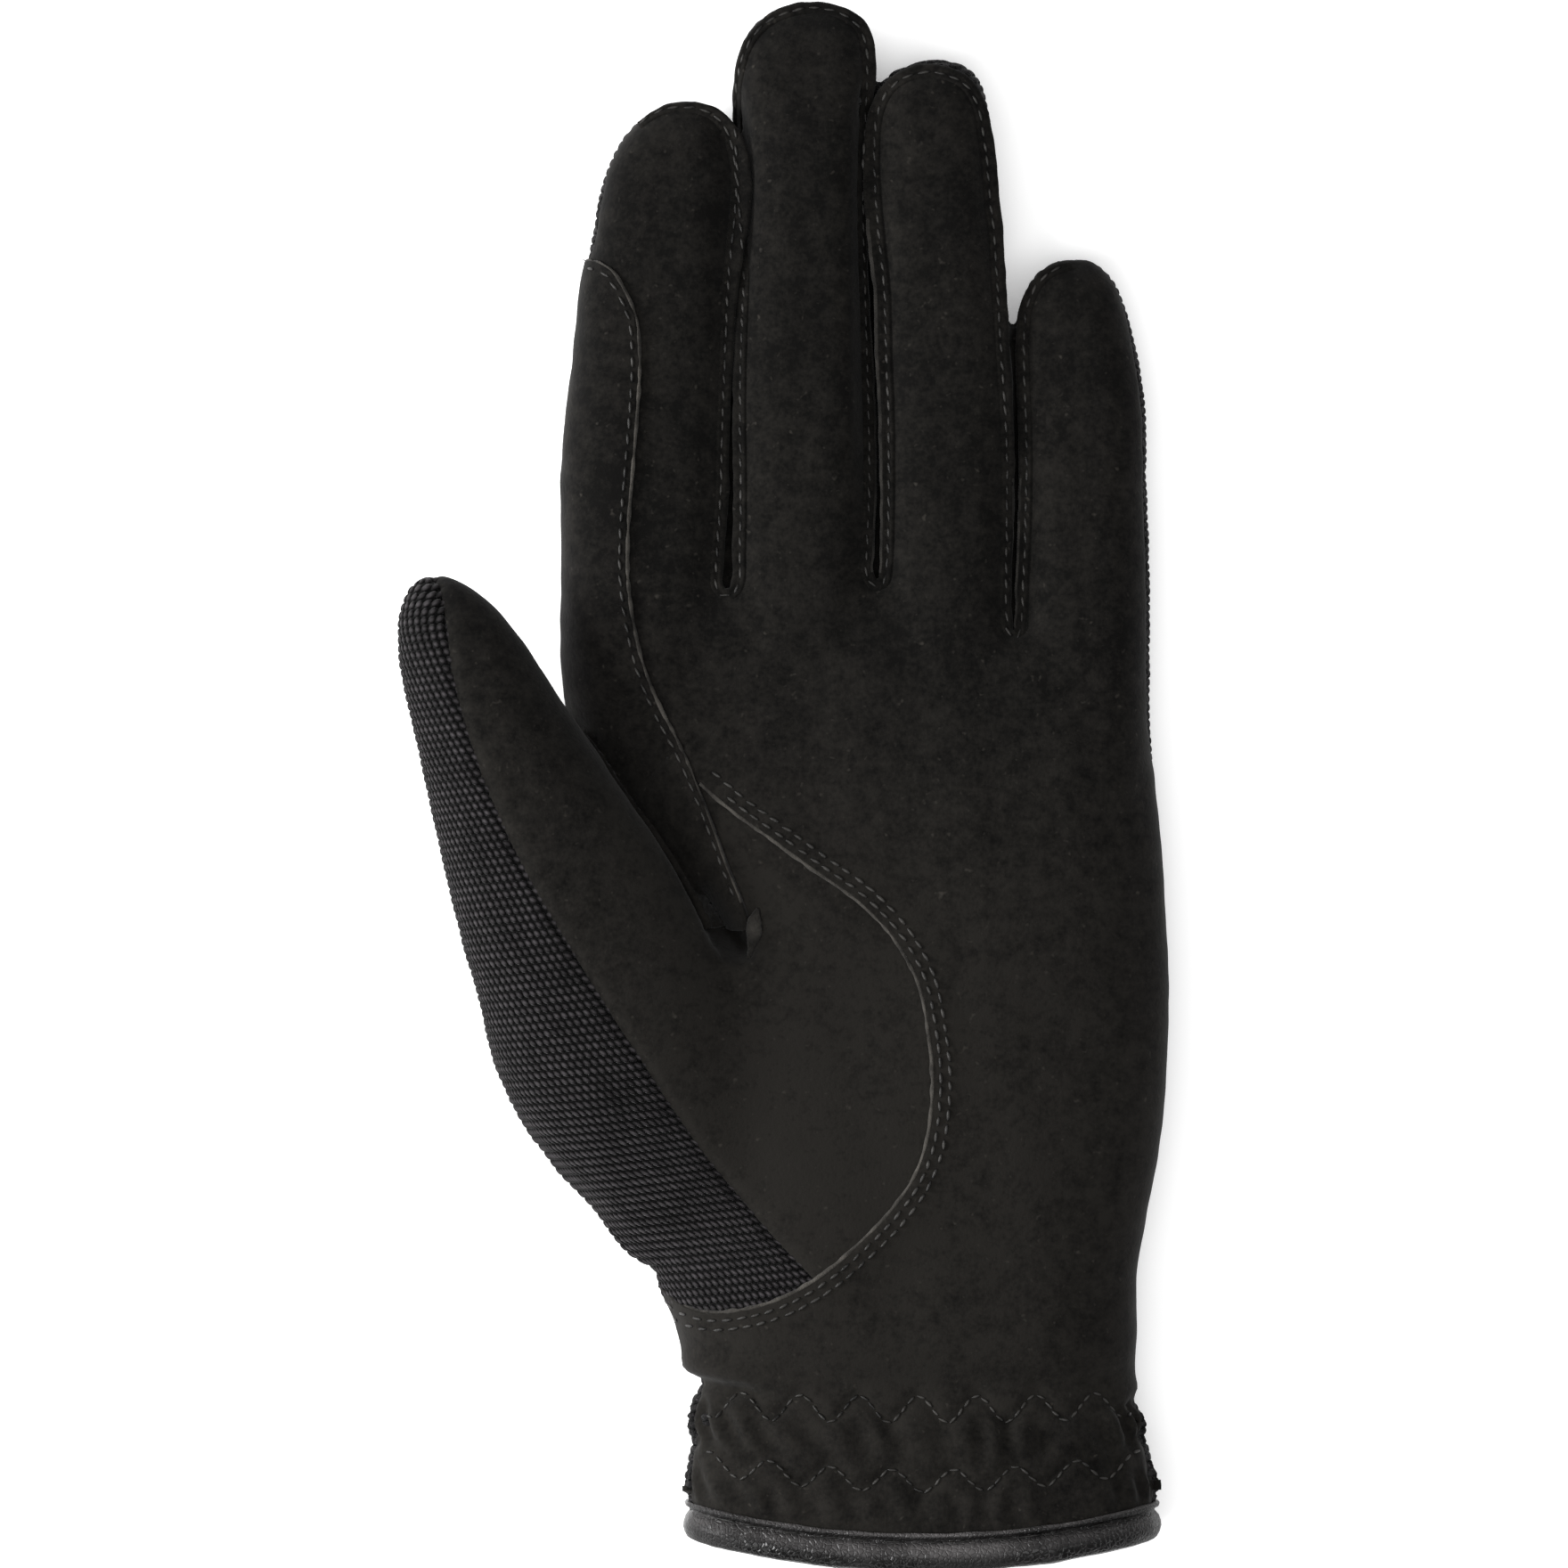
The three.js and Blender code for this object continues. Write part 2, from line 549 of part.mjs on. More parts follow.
const SUEDE = { color: 0x1c1b19, roughness: 0.95, metalness: 0 };
const KNIT = { color: 0x161617, roughness: 0.8, metalness: 0 };
const LEATHER = { color: 0x232122, roughness: 0.4, metalness: 0 };
const FINISHES = {
  palm_panel: SUEDE,
  back_panel: KNIT,
  fourchette_index_middle: SUEDE,
  fourchette_middle_ring: SUEDE,
  fourchette_ring_little: SUEDE,
  index_guard: SUEDE,
  thumb_front: SUEDE,
  thumb_back: KNIT,
  hem_binding: LEATHER,
};

// The mesh of a finished panel.
function panelMesh(name) {
  const { vertProperties, triVerts } = panels[name].getMesh();
  const geometry = new THREE.BufferGeometry();
  geometry.setAttribute('position', new THREE.BufferAttribute(vertProperties, 3));
  geometry.setIndex(new THREE.BufferAttribute(triVerts, 1));
  geometry.computeVertexNormals();
  const mesh = new THREE.Mesh(geometry, new THREE.MeshStandardMaterial(FINISHES[name]));
  mesh.name = name;
  return mesh;
}

const glove = new THREE.Group();
for (const name of Object.keys(FINISHES)) glove.add(panelMesh(name));

// Brings the middle of the glove's underside to the origin.
const bounds = new THREE.Box3().setFromObject(glove);
const centre = bounds.getCenter(new THREE.Vector3());
glove.position.set(-centre.x, -centre.y, -bounds.min.z);

export default glove;
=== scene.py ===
import json
import math

import bmesh
import bpy
import numpy as np
from bpy.props import FloatProperty, FloatVectorProperty, PointerProperty
from mathutils import Matrix, Vector
from mathutils.bvhtree import BVHTree

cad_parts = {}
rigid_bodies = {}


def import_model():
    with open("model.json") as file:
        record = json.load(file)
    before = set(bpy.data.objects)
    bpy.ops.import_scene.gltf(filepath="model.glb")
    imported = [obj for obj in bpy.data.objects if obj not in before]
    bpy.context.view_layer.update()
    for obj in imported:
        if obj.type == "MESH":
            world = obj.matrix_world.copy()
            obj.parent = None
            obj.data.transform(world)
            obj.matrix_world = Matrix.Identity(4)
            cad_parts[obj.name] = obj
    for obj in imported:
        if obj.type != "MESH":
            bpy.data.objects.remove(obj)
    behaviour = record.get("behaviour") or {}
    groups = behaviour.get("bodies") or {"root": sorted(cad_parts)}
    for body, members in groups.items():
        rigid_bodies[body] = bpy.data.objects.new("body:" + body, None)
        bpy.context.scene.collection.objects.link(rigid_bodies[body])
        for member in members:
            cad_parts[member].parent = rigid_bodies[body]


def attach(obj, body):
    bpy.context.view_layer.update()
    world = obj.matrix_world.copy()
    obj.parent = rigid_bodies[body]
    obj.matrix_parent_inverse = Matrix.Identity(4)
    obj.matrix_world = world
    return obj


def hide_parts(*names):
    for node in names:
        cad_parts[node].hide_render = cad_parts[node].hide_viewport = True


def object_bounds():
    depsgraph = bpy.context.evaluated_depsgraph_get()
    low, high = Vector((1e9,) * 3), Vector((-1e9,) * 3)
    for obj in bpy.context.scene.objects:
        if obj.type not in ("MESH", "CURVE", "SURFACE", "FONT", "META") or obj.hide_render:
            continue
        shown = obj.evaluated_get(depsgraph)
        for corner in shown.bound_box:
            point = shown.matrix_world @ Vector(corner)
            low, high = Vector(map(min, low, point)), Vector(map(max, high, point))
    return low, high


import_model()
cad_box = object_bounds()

bl_info = {
    "name": "Horse riding glove",
    "version": (1, 0, 0),
    "blender": (4, 5, 0),
    "location": "3D View > Sidebar > Glove",
    "description": "Suede and knit pieces, seams and stitching of a left riding glove, round its solid frame",
    "category": "Add Mesh",
}

# The pattern is drawn in millimetres of a glove 230 long: x across the palm from the middle of
# the glove, y from the hem towards the fingers, z from the back of the glove.
PATTERN_LENGTH = 230.0
LOW, HIGH = (Vector(corner) for corner in cad_box)
MM = (HIGH.y - LOW.y) / PATTERN_LENGTH
ORIGIN = Vector(((LOW.x + HIGH.x) / 2, LOW.y, LOW.z))
TO_FRAME = Matrix.Translation(ORIGIN) @ Matrix.Scale(MM, 4)

# Sections of the sleeves that the glove is melted from: place along, left, right, bottom, top.
INDEX = [
    (118, -30, -8.3, 0, 20.8), (132, -32, -8.2, 0, 20), (146.4, -32.3, -8.2, 0, 19.2),
    (158, -32.3, -8, 0, 18.6), (167, -31.8, -7.9, 0, 18.3), (178, -30.5, -7.6, 0, 17.9),
    (188, -29.5, -7.4, 0, 17.4), (194, -28.3, -7, 0, 17.1), (199, -27.6, -6.6, 0, 16.7),
    (204, -26.6, -6.3, 0.2, 16.2), (209.2, -24.4, -6.9, 1.2, 15.2), (212.4, -21.8, -8.6, 2.5, 14),
    (214.4, -18.6, -10.9, 4, 12.6), (215.4, -16.2, -13, 5.5, 11.2),
]
MIDDLE = [
    (120, -7.4, 13, 0, 21), (134, -7.8, 13.3, 0, 20), (146, -8, 13.4, 0, 19.2),
    (158, -7.8, 13.5, 0, 18.6), (171, -7.5, 13.4, 0, 18.2), (184, -6.8, 13.1, 0, 17.8),
    (194, -6, 12.8, 0, 17.4), (204, -5.6, 12.4, 0, 17.1), (212, -6.1, 12.5, 0.2, 16.8),
    (218, -7, 13, 0.8, 16.2), (222.5, -6.6, 12.8, 1.8, 15.2), (226, -4.9, 11.6, 3.2, 13.8),
    (228.5, -1.8, 9.4, 4.8, 12.2), (229.6, 1.2, 6.8, 6.3, 10.7),
]
RING = [
    (122, 14, 33, 0, 21), (136, 14, 33.6, 0, 19.9), (148, 14, 33.8, 0, 19),
    (158, 14, 33.8, 0, 18.4), (168, 14, 33.8, 0, 18), (178, 13.8, 33.5, 0, 17.6),
    (183, 13.7, 33, 0, 17.4), (188, 13.5, 31.9, 0, 17.3), (196, 13.1, 31.3, 0, 17), (204, 12.8, 30.6, 0, 16.6),
    (211, 12.8, 30.2, 0.3, 16.2), (216, 13.5, 29.4, 1.2, 15.3), (219.3, 15.3, 27.9, 2.8, 13.8),
    (221, 18.2, 25.6, 4.6, 11.8), (221.6, 20.3, 23.4, 6.2, 10),
]
LITTLE = [
    (112, 33.8, 54, 0, 20.8), (126, 33.9, 53.7, 0, 19.4), (138, 34, 53.6, 0, 18.2),
    (150, 34.2, 53.4, 0, 17.3), (161, 34.3, 53.1, 0, 16.6), (168, 34.4, 53, 0, 16.1),
    (174, 34.1, 52.4, 0, 15.8), (180, 34.1, 51.3, 0, 15.3), (184.5, 34.7, 50.2, 0.6, 14.5),
    (188, 35.9, 48.9, 1.8, 13.4), (190.6, 37.8, 47.2, 3.4, 12), (192.2, 40.3, 45, 5, 10.4),
]
KNUCKLES = [
    (124, -31, 31, 0.5, 20.8), (136, -31.3, 31.6, 0.5, 18.9), (143.3, -31.4, 31.8, 0.5, 17.9),
]
# The hand has one more column, how much higher its sides lie than its middle.
HAND = [
    (-3, -13.4, 53.9, 1.2, 26.8, 4.3), (4, -13.6, 54.2, 1.2, 26.8, 4.1), (8, -14, 54.4, 0.8, 26.6, 3.5),
    (11.5, -14, 54, 0.2, 25.9, 3), (15.5, -13.8, 53.5, 0, 25.7, 2.4), (20, -13.4, 52.3, 0, 25.2, 1.6),
    (24.5, -13.2, 51.7, 0, 24.3, 0.9), (27.2, -12.9, 51.4, 0, 24, 0.4), (30, -13.8, 51.5, 0, 25.1, 0.1),
    (33, -15.2, 51.8, 0, 25.8, 0), (36.4, -16.3, 51.9, 0, 25.7, 0), (41.6, -18.4, 51.9, 0, 25.4, 0),
    (52, -20.5, 53.3, 0, 25.6, 0), (62.6, -22.6, 55.2, 0, 26, 0), (73, -25, 56.2, 0, 26, 0),
    (83.5, -26.2, 56.4, 0, 25.9, 0), (94, -27.2, 56.1, 0, 25.5, 0), (104.5, -28.4, 55.5, 0, 24.9, 0),
    (115, -30.2, 54.5, 0, 23.8, 0), (125.4, -31.6, 53.7, 0, 21.7, 0), (136.9, -32.1, 53.5, 0, 18.8, 0),
]
# The thumb's places run along its own axis, its sides across it.
THUMB = [
    (0, -13.9, 13.9, 3, 22), (5.3, -16.6, 16.1, 2.2, 24), (11.7, -17.9, 17.5, 2, 26),
    (20.1, -20.6, 18.2, 2.2, 28), (29.7, -21.9, 18.5, 3.2, 30.2), (38.2, -21.6, 18, 4.8, 31.6),
    (47.7, -19.8, 16.6, 7.6, 32.9), (58.3, -17.4, 14.4, 10.4, 33.5), (68.9, -15.2, 12.2, 12.4, 33.2),
    (79.5, -12.9, 10.8, 13.2, 32.4), (89, -10.4, 9.8, 14, 31.2), (95.4, -8.8, 8.5, 14.8, 29.9),
    (100.7, -6.9, 6.5, 16.4, 28.2), (104.4, -4.4, 3.9, 18.6, 26.2), (106.2, -2.2, 1.9, 20.4, 24.4),
]
THUMB_START = (-6.5, 49.5)
THUMB_SPLAY = math.radians(25.8)
WAIST = 0.45                          # height of a section's widest place, in its height
FINGER_CORNERS = (2.9, 3.0)           # how square a section is above and below its waist
HAND_CORNERS = (2.9, 3.4)
THUMB_CORNERS = (2.2, 2.4)
RING_POINTS = 56
VOXEL = 0.7
HEM_START = 1.2                       # the panels start here, inside the binding
HEM_HALF = 33.9                       # half the width of the wrist
HEM_MIDDLE = 20.3

# Lines drawn on the palm.
HOLE_EDGE = [
    (-17, 119), (-12.3, 115.1), (-7.1, 110.7), (-1.6, 106.8), (3.9, 102.8), (11.5, 97.3),
    (16.5, 91.8), (19.5, 86.2), (21, 79.2), (21.7, 72.9), (21.5, 67.4), (20.6, 61.9),
    (18.8, 57.3), (15.8, 53), (10.6, 47.6), (5.1, 43), (-1.2, 39.6), (-6.2, 38.2),
    (-11.3, 37.8), (-15, 38.8), (-18.4, 41.4), (-23, 44.5),
]
GUARD_EDGE = [
    (-31, 192), (-29.1, 191.9), (-25.8, 190.6), (-23.3, 187.1), (-21.7, 183.2), (-21.2, 178.2),
    (-21.5, 169.9), (-22.3, 159.8), (-22.9, 151.5), (-22.9, 144.8), (-22.1, 138.6),
    (-20.4, 131.6), (-17.9, 125.6), (-15.2, 120.6), (-12.7, 115.2), (-10.2, 109), (-8, 103),
    (-5.9, 97.8), (-4.6, 94),
]
KNIT_EDGE = [
    (-54.5, 152), (-52, 147), (-50.2, 143.6), (-49.3, 139), (-48.6, 132.5), (-46, 122), (-42.1, 111.5),
    (-36.6, 100.2), (-31.3, 91.4), (-26.2, 83), (-20.6, 74.4), (-16, 67.2), (-11.3, 60.5),
    (-6.2, 54.2), (-1.2, 48.4), (5, 42), (12, 35),
]

# Heights of the seam between palm and back round the hand's two sides: y, then z.
THUMB_SIDE = [
    (-5, 16), (22, 15.6), (30, 11), (36, 7), (58, 7), (72, 9.2), (114, 9.2), (142, 7.2),
    (188, 7.2), (196, 10.6), (205, 9.4), (214, 8.4), (232, 8),
]
LITTLE_SIDE = [
    (-5, 16), (20, 15.6), (29, 7), (112, 6.9), (124, 11.2), (172, 10.9), (192, 7.6), (232, 7.6),
]
THUMB_UNDER = [(40, 12), (84, 12), (96, 19), (108, 22), (150, 22)]
FOURCHETTE_LOW, FOURCHETTE_HIGH = 5.2, 12.6
# The strips between the fingers: crotch, ends of the shoulder and of the point, and the middles
# of the two fingertips.
FOURCHETTES = {
    "fourchette_index_middle": (142.7, 204, 211.5, -15, 4),
    "fourchette_middle_ring": (144.1, 207, 217, 4, 21.8),
    "fourchette_ring_little": (136.4, 184, 189, 21.8, 43),
}

# The outseam runs from the index fingertip down to the crotch, up the middle finger and so on.
# Its allowance stands out on the left of the way: x, y, width, lift, rise of its free edge.
OUTSEAM = [
    (-21.4, 211.9, 0.2, -0.5, -0.3), (-18, 213.9, 0.5, -0.2, -0.3), (-13.9, 214.3, 0.9, 0, -0.3),
    (-10.6, 213.3, 1.2, 0.1, 0),
    (-8.6, 211.2, 1.5, 0.2, 0.3), (-7.5, 207.9, 2, 0.3, 0.6), (-7, 203, 2.3, 0.4, 0.7),
    (-7.3, 197.4, 2.2, 0.4, 0.5), (-8, 191, 1.7, 0.3, 0.2), (-8.4, 184.3, 1.4, 0.1, 0),
    (-8.65, 177.8, 1.2, 0, -0.1), (-8.9, 171.2, 1.15, 0, -0.2), (-9.15, 164.7, 1.15, 0, -0.2),
    (-9.25, 158.1, 1.15, 0, -0.2), (-9.65, 151.6, 1.15, 0, -0.2), (-9.95, 146.4, 1.1, 0, -0.2),
    (-9.9, 143.9, 1, 0, -0.1), (-9, 142.7, 1, 0, 0), (-7.4, 142.9, 1, 0, 0), (-6.6, 144.6, 1.1, 0, -0.1),
    (-6.45, 148.5, 1.15, 0, -0.2), (-6.3, 154, 1.15, 0, -0.2), (-6.3, 160, 1.15, 0, -0.2),
    (-6.4, 168, 1.15, 0, -0.3), (-6.35, 176, 1.1, 0, -0.4), (-6.1, 183.5, 1.1, -0.1, -0.5),
    (-5.9, 190, 1, -0.6, -0.6), (-6.3, 196, 0.8, -1.8, -0.8), (-6.8, 204, 0.6, -2.8, -0.8),
    (-7.1, 212, 0.5, -2.6, -0.6), (-6.8, 218.5, 0.6, -1, -0.5), (-5.4, 223.3, 0.8, -0.1, -0.4),
    (-2.6, 226.7, 0.9, 0, -0.3), (1, 228.4, 1, 0, -0.3), (5, 228.9, 1, 0, -0.3), (8.6, 228, 1.1, 0, -0.3),
    (11.2, 225.8, 1.2, 0, -0.3), (12.1, 222.6, 1.3, 0, -0.3), (12.2, 218.6, 1.3, -0.2, -0.4),
    (11.9, 212, 0.7, -0.8, -0.6), (11.6, 204, 0.6, -1.2, -0.7), (11.7, 194, 0.6, -1.2, -0.7),
    (12, 184, 0.8, -1, -0.6), (12.3, 173.2, 1, -0.6, -0.5), (12.5, 164.7, 1.1, -0.4, -0.4),
    (12.4, 154.9, 1.1, -0.2, -0.3), (12.1, 148.5, 1.1, 0, -0.2), (12.2, 145.4, 1, 0, -0.1),
    (13.2, 144.1, 1, 0, 0), (14.5, 144.5, 1, 0, 0), (15.05, 146.8, 1.1, 0, 0), (15.3, 152, 1.3, 0.1, 0.1),
    (15.4, 161, 1.4, 0.2, 0.2), (15.35, 169, 1.5, 0.2, 0.2), (15, 178, 1.6, 0.3, 0.3),
    (14.7, 188, 1.7, 0.3, 0.3), (14, 194.8, 1.8, 0.3, 0.3), (13.4, 202, 1.8, 0.3, 0.3),
    (13.25, 208, 1.6, 0.2, 0.1), (13.6, 212.6, 1.3, 0, -0.1), (15, 216.3, 1.2, 0, -0.3),
    (17.5, 218.5, 1.2, 0, -0.3), (20.6, 219.4, 1.2, 0, -0.3), (23.8, 219, 1.2, 0, -0.3),
    (26.4, 217.7, 1.2, 0, -0.3), (28.3, 214.8, 1.2, 0, -0.3), (29.2, 210.6, 1.3, 0, -0.3),
    (29.8, 206, 1.4, 0, -0.3), (30.2, 201, 1.4, 0, -0.3), (30.8, 195.6, 1.4, 0, -0.3),
    (31.3, 187.6, 1.4, 0, -0.3), (31.75, 179.7, 1.3, 0, -0.3), (32.3, 171.2, 1.2, 0, -0.2),
    (32.65, 164.7, 1.1, 0, -0.2), (32.7, 158, 1.1, -0.1, -0.3), (32.6, 151, 1, -0.2, -0.4),
    (32.5, 144.5, 0.9, -0.2, -0.4), (32.6, 139.5, 0.8, -0.1, -0.2), (33.2, 136.9, 0.8, 0, 0),
    (34.1, 136.7, 0.8, 0.1, 0.1), (34.75, 139, 1, 0.2, 0.2), (35, 143, 1.2, 0.3, 0.3),
    (35.3, 149, 1.2, 0.3, 0.3), (35.5, 156, 1.2, 0.2, 0.1), (35.6, 163, 1.2, 0.1, 0),
    (35.45, 170, 1.2, 0, -0.1), (35.2, 176.5, 1.2, 0, -0.2), (35.25, 181.5, 1.1, 0, -0.2),
    (35.8, 185.4, 1.1, 0, -0.3), (37.2, 188.3, 1, 0, -0.4), (39.4, 190.3, 0.9, 0, -0.4),
    (42, 191.1, 0.8, 0, -0.5),
]
# The folded tab that closes the seams at the thumb's crotch: x, y, half width, height.
CROTCH_TAB = [
    (-3.8, 96.8, 0.25, 0.3), (-4.2, 95.6, 0.8, 0.9), (-4.4, 94.3, 1.15, 1.2), (-4.4, 92.9, 1.05, 1.3),
    (-4.7, 91.3, 0.7, 1.2), (-5.2, 89.6, 0.25, 0.5),
]

# Wavy stitching over the elastic: middle of the row at its ends and its centre, swing, wave, start.
WRIST_ROWS = [
    {"ends": 24.3, "centre": 23.7, "swing": 1.85, "wave": 8.6, "crest": 2.4},
    {"ends": 16.2, "centre": 13.3, "swing": 1.55, "wave": 8.95, "crest": -2.1},
]


def tone(red, green, blue):
    """A colour given in display values of 0 to 255, as light."""
    shares = (value / 255 for value in (red, green, blue))
    return tuple(s / 12.92 if s <= 0.04045 else ((s + 0.055) / 1.055) ** 2.4 for s in shares)


class GloveSizes(bpy.types.PropertyGroup):
    """Sizes of the glove's leather, knit and seams."""

    suede: FloatProperty(name="Suede", description="Thickness of the suede", default=1.15 * MM, unit="LENGTH")
    knit: FloatProperty(name="Knit", description="Thickness of the knit", default=1.2 * MM, unit="LENGTH")
    lap: FloatProperty(name="Lap", description="How far a lapped edge stands over the next panel",
                       default=0.6 * MM, unit="LENGTH")
    wale: FloatProperty(name="Wale", description="Width of a stitch of the knit", default=1.05 * MM, unit="LENGTH")
    course: FloatProperty(name="Course", description="Height of a row of the knit", default=1.22 * MM, unit="LENGTH")
    relief: FloatProperty(name="Relief", description="Depth of the knit's surface", default=0.26 * MM, unit="LENGTH")
    ripple: FloatProperty(name="Ripple", description="Unevenness of the leather", default=0.22 * MM, unit="LENGTH")
    pucker: FloatProperty(name="Pucker", description="Height of the gathers at the wrist",
                          default=0.75 * MM, unit="LENGTH")
    stitch: FloatProperty(name="Stitch", description="Length of a seam stitch", default=1.75 * MM, unit="LENGTH")
    pitch: FloatProperty(name="Pitch", description="Distance between seam stitches", default=2.3 * MM, unit="LENGTH")
    thread: FloatProperty(name="Thread", description="Thickness of the thread", default=0.43 * MM, unit="LENGTH")


class GloveColours(bpy.types.PropertyGroup):
    """Colours of the glove's materials."""

    suede: FloatVectorProperty(name="Suede", description="Brushed leather", subtype="COLOR", size=3,
                               default=tone(15.5, 14.3, 12.6))
    knit: FloatVectorProperty(name="Knit", description="Yarn of the back", subtype="COLOR", size=3,
                              default=tone(27, 25.5, 26.5))
    edge: FloatVectorProperty(name="Raw edge", description="Cut edge of the leather", subtype="COLOR", size=3,
                              default=tone(46, 44, 41))
    thread: FloatVectorProperty(name="Thread", description="Sewing thread", subtype="COLOR", size=3,
                                default=tone(27, 26, 24.5))
    leather: FloatVectorProperty(name="Smooth leather", description="Binding of the hem", subtype="COLOR", size=3,
                                 default=tone(9, 8.5, 8.5))
    floor: FloatVectorProperty(name="Floor", description="Floor under the glove", subtype="COLOR", size=3,
                               default=(1, 1, 1))


# ---- Curves and distances


def ease(rows, spots):
    """Values of a table's columns at new spots along its first column, without overshoot."""
    rows = np.array(rows, float)
    x, y = rows[:, 0], rows[:, 1:]
    spots = np.clip(np.asarray(spots, float), x[0], x[-1])
    steps = np.diff(x)[:, None]
    slopes = np.diff(y, axis=0) / steps
    before, after = slopes[:-1], slopes[1:]
    same_way = before * after > 0
    with np.errstate(divide="ignore", invalid="ignore"):
        mean = 2 * before * after / (before + after)
    tangents = np.vstack([slopes[:1], np.where(same_way, mean, 0), slopes[-1:]])
    at = np.clip(np.searchsorted(x, spots, side="right") - 1, 0, len(x) - 2)
    step = steps[at]
    t = ((spots - x[at])[:, None]) / step
    return (
        y[at] * (1 + 2 * t) * (1 - t) ** 2
        + y[at + 1] * t * t * (3 - 2 * t)
        + tangents[at] * step * t * (1 - t) ** 2
        + tangents[at + 1] * step * t * t * (t - 1)
    )


def flowing(points, spacing):
    """Points at even spacing on a smooth line through a few rows; their other columns flow too."""
    knots = np.array(points, float)
    chord = np.linalg.norm(np.diff(knots[:, :2], axis=0), axis=1)
    place = np.concatenate([[0], np.cumsum(chord)])
    slopes = np.gradient(knots, place, axis=0)
    fine = np.linspace(0, place[-1], max(8, int(place[-1] / 0.2)))
    at = np.clip(np.searchsorted(place, fine, side="right") - 1, 0, len(place) - 2)
    step = (place[at + 1] - place[at])[:, None]
    t = (fine - place[at])[:, None] / step
    line = (
        knots[at] * (1 + 2 * t) * (1 - t) ** 2
        + knots[at + 1] * t * t * (3 - 2 * t)
        + slopes[at] * step * t * (1 - t) ** 2
        + slopes[at + 1] * step * t * t * (t - 1)
    )
    length = np.concatenate([[0], np.cumsum(np.linalg.norm(np.diff(line[:, :2], axis=0), axis=1))])
    count = max(2, int(round(length[-1] / spacing)) + 1)
    even = np.linspace(0, length[-1], count)
    return np.stack([np.interp(even, length, column) for column in line.T], 1)


def inside(outline, points):
    """How far flat points lie inside a closed outline; negative outside it."""
    outline = np.asarray(outline, float)
    nearest = np.full(len(points), 1e9)
    within = np.zeros(len(points), bool)
    px, py = points[:, 0], points[:, 1]
    for start, end in zip(outline, np.roll(outline, -1, axis=0)):
        edge = end - start
        share = np.clip(((px - start[0]) * edge[0] + (py - start[1]) * edge[1]) / (edge @ edge), 0, 1)
        gap = np.hypot(px - start[0] - share * edge[0], py - start[1] - share * edge[1])
        nearest = np.minimum(nearest, gap)
        if start[1] != end[1]:
            spans = (start[1] > py) != (end[1] > py)
            crossing = start[0] + (py - start[1]) * edge[0] / edge[1]
            within ^= spans & (px < crossing)
    return np.where(within, nearest, -nearest)


FAR = 120.0


def thumb_side_of(line, points, top, bottom):
    """How far points lie on the thumb's side of a line drawn on the palm."""
    line = flowing(line, 1.5)
    outline = np.vstack([line[:, :2], [(-FAR, bottom), (-FAR, top)]])
    return inside(outline, points[:, :2])


def from_line(points, start, end):
    """How far points lie from a straight line seen from above."""
    start, edge = np.array(start), np.subtract(end, start)
    share = np.clip((points[:, :2] - start) @ edge / (edge @ edge), 0, 1)
    return np.linalg.norm(points[:, :2] - start - share[:, None] * edge, axis=1)


def step_up(values, low, high):
    """0 below low, 1 above high and a soft slope between."""
    t = np.clip((values - low) / (high - low), 0, 1)
    return t * t * (3 - 2 * t)


def waves(points, length, seed):
    """Smooth unevenness of about -1 to 1 with humps of a given length."""
    draw = np.random.RandomState(seed)
    total = np.zeros(len(points))
    for _ in range(10):
        way = draw.normal(size=3)
        way *= 2 * math.pi / (length * draw.uniform(0.8, 2.2) * np.linalg.norm(way))
        total += np.sin(points @ way + draw.uniform(0, 2 * math.pi))
    return total / 4


# ---- Where a point of the glove belongs


def thumb_frame(points):
    """Places of points along and across the thumb's axis."""
    x, y = points[:, 0] - THUMB_START[0], points[:, 1] - THUMB_START[1]
    sine, cosine = math.sin(THUMB_SPLAY), math.cos(THUMB_SPLAY)
    return -x * sine + y * cosine, x * cosine + y * sine


def outside_sleeve(rows, corners, along, across, height):
    """About how far points lie outside a sleeve."""
    left, right, bottom, top = ease(rows, along)[:, :4].T
    half = (right - left) / 2
    waist = bottom + WAIST * (top - bottom)
    over = height > waist
    reach = np.where(over, top - waist, waist - bottom)
    power = np.where(over, corners[0], corners[1])
    share = (np.abs((across - (left + right) / 2) / half) ** power
             + np.abs((height - waist) / reach) ** power) ** (1 / power)
    ends = np.maximum(0, rows[0][0] - along) + np.maximum(0, along - rows[-1][0])
    return (share - 1) * np.minimum(half, reach) + ends


def thumb_part(points):
    """Positive on the thumb, negative on the hand."""
    along, across = thumb_frame(points)
    from_thumb = outside_sleeve(THUMB, THUMB_CORNERS, along, across, points[:, 2])
    from_hand = np.minimum(
        outside_sleeve(HAND, HAND_CORNERS, points[:, 1], points[:, 0], points[:, 2]),
        outside_sleeve(INDEX, FINGER_CORNERS, points[:, 1], points[:, 0], points[:, 2]))
    return from_hand - from_thumb


def hole_part(points):
    """How far points lie inside the thumb hole's edge."""
    return thumb_side_of(HOLE_EDGE, points, 119, 46)


def guard_part(points):
    """How far points lie inside the edge of the index guard."""
    return thumb_side_of(GUARD_EDGE, points, 192, 91)


def knit_part(points):
    """How far points lie on the knitted side of the thumb."""
    over = thumb_side_of(KNIT_EDGE, points, 152, 35)
    _, across = thumb_frame(points)
    seam = ease(THUMB_UNDER, points[:, 1])[:, 0] - 16 * step_up(across, -1, 5)
    return np.maximum(over, seam - points[:, 2])


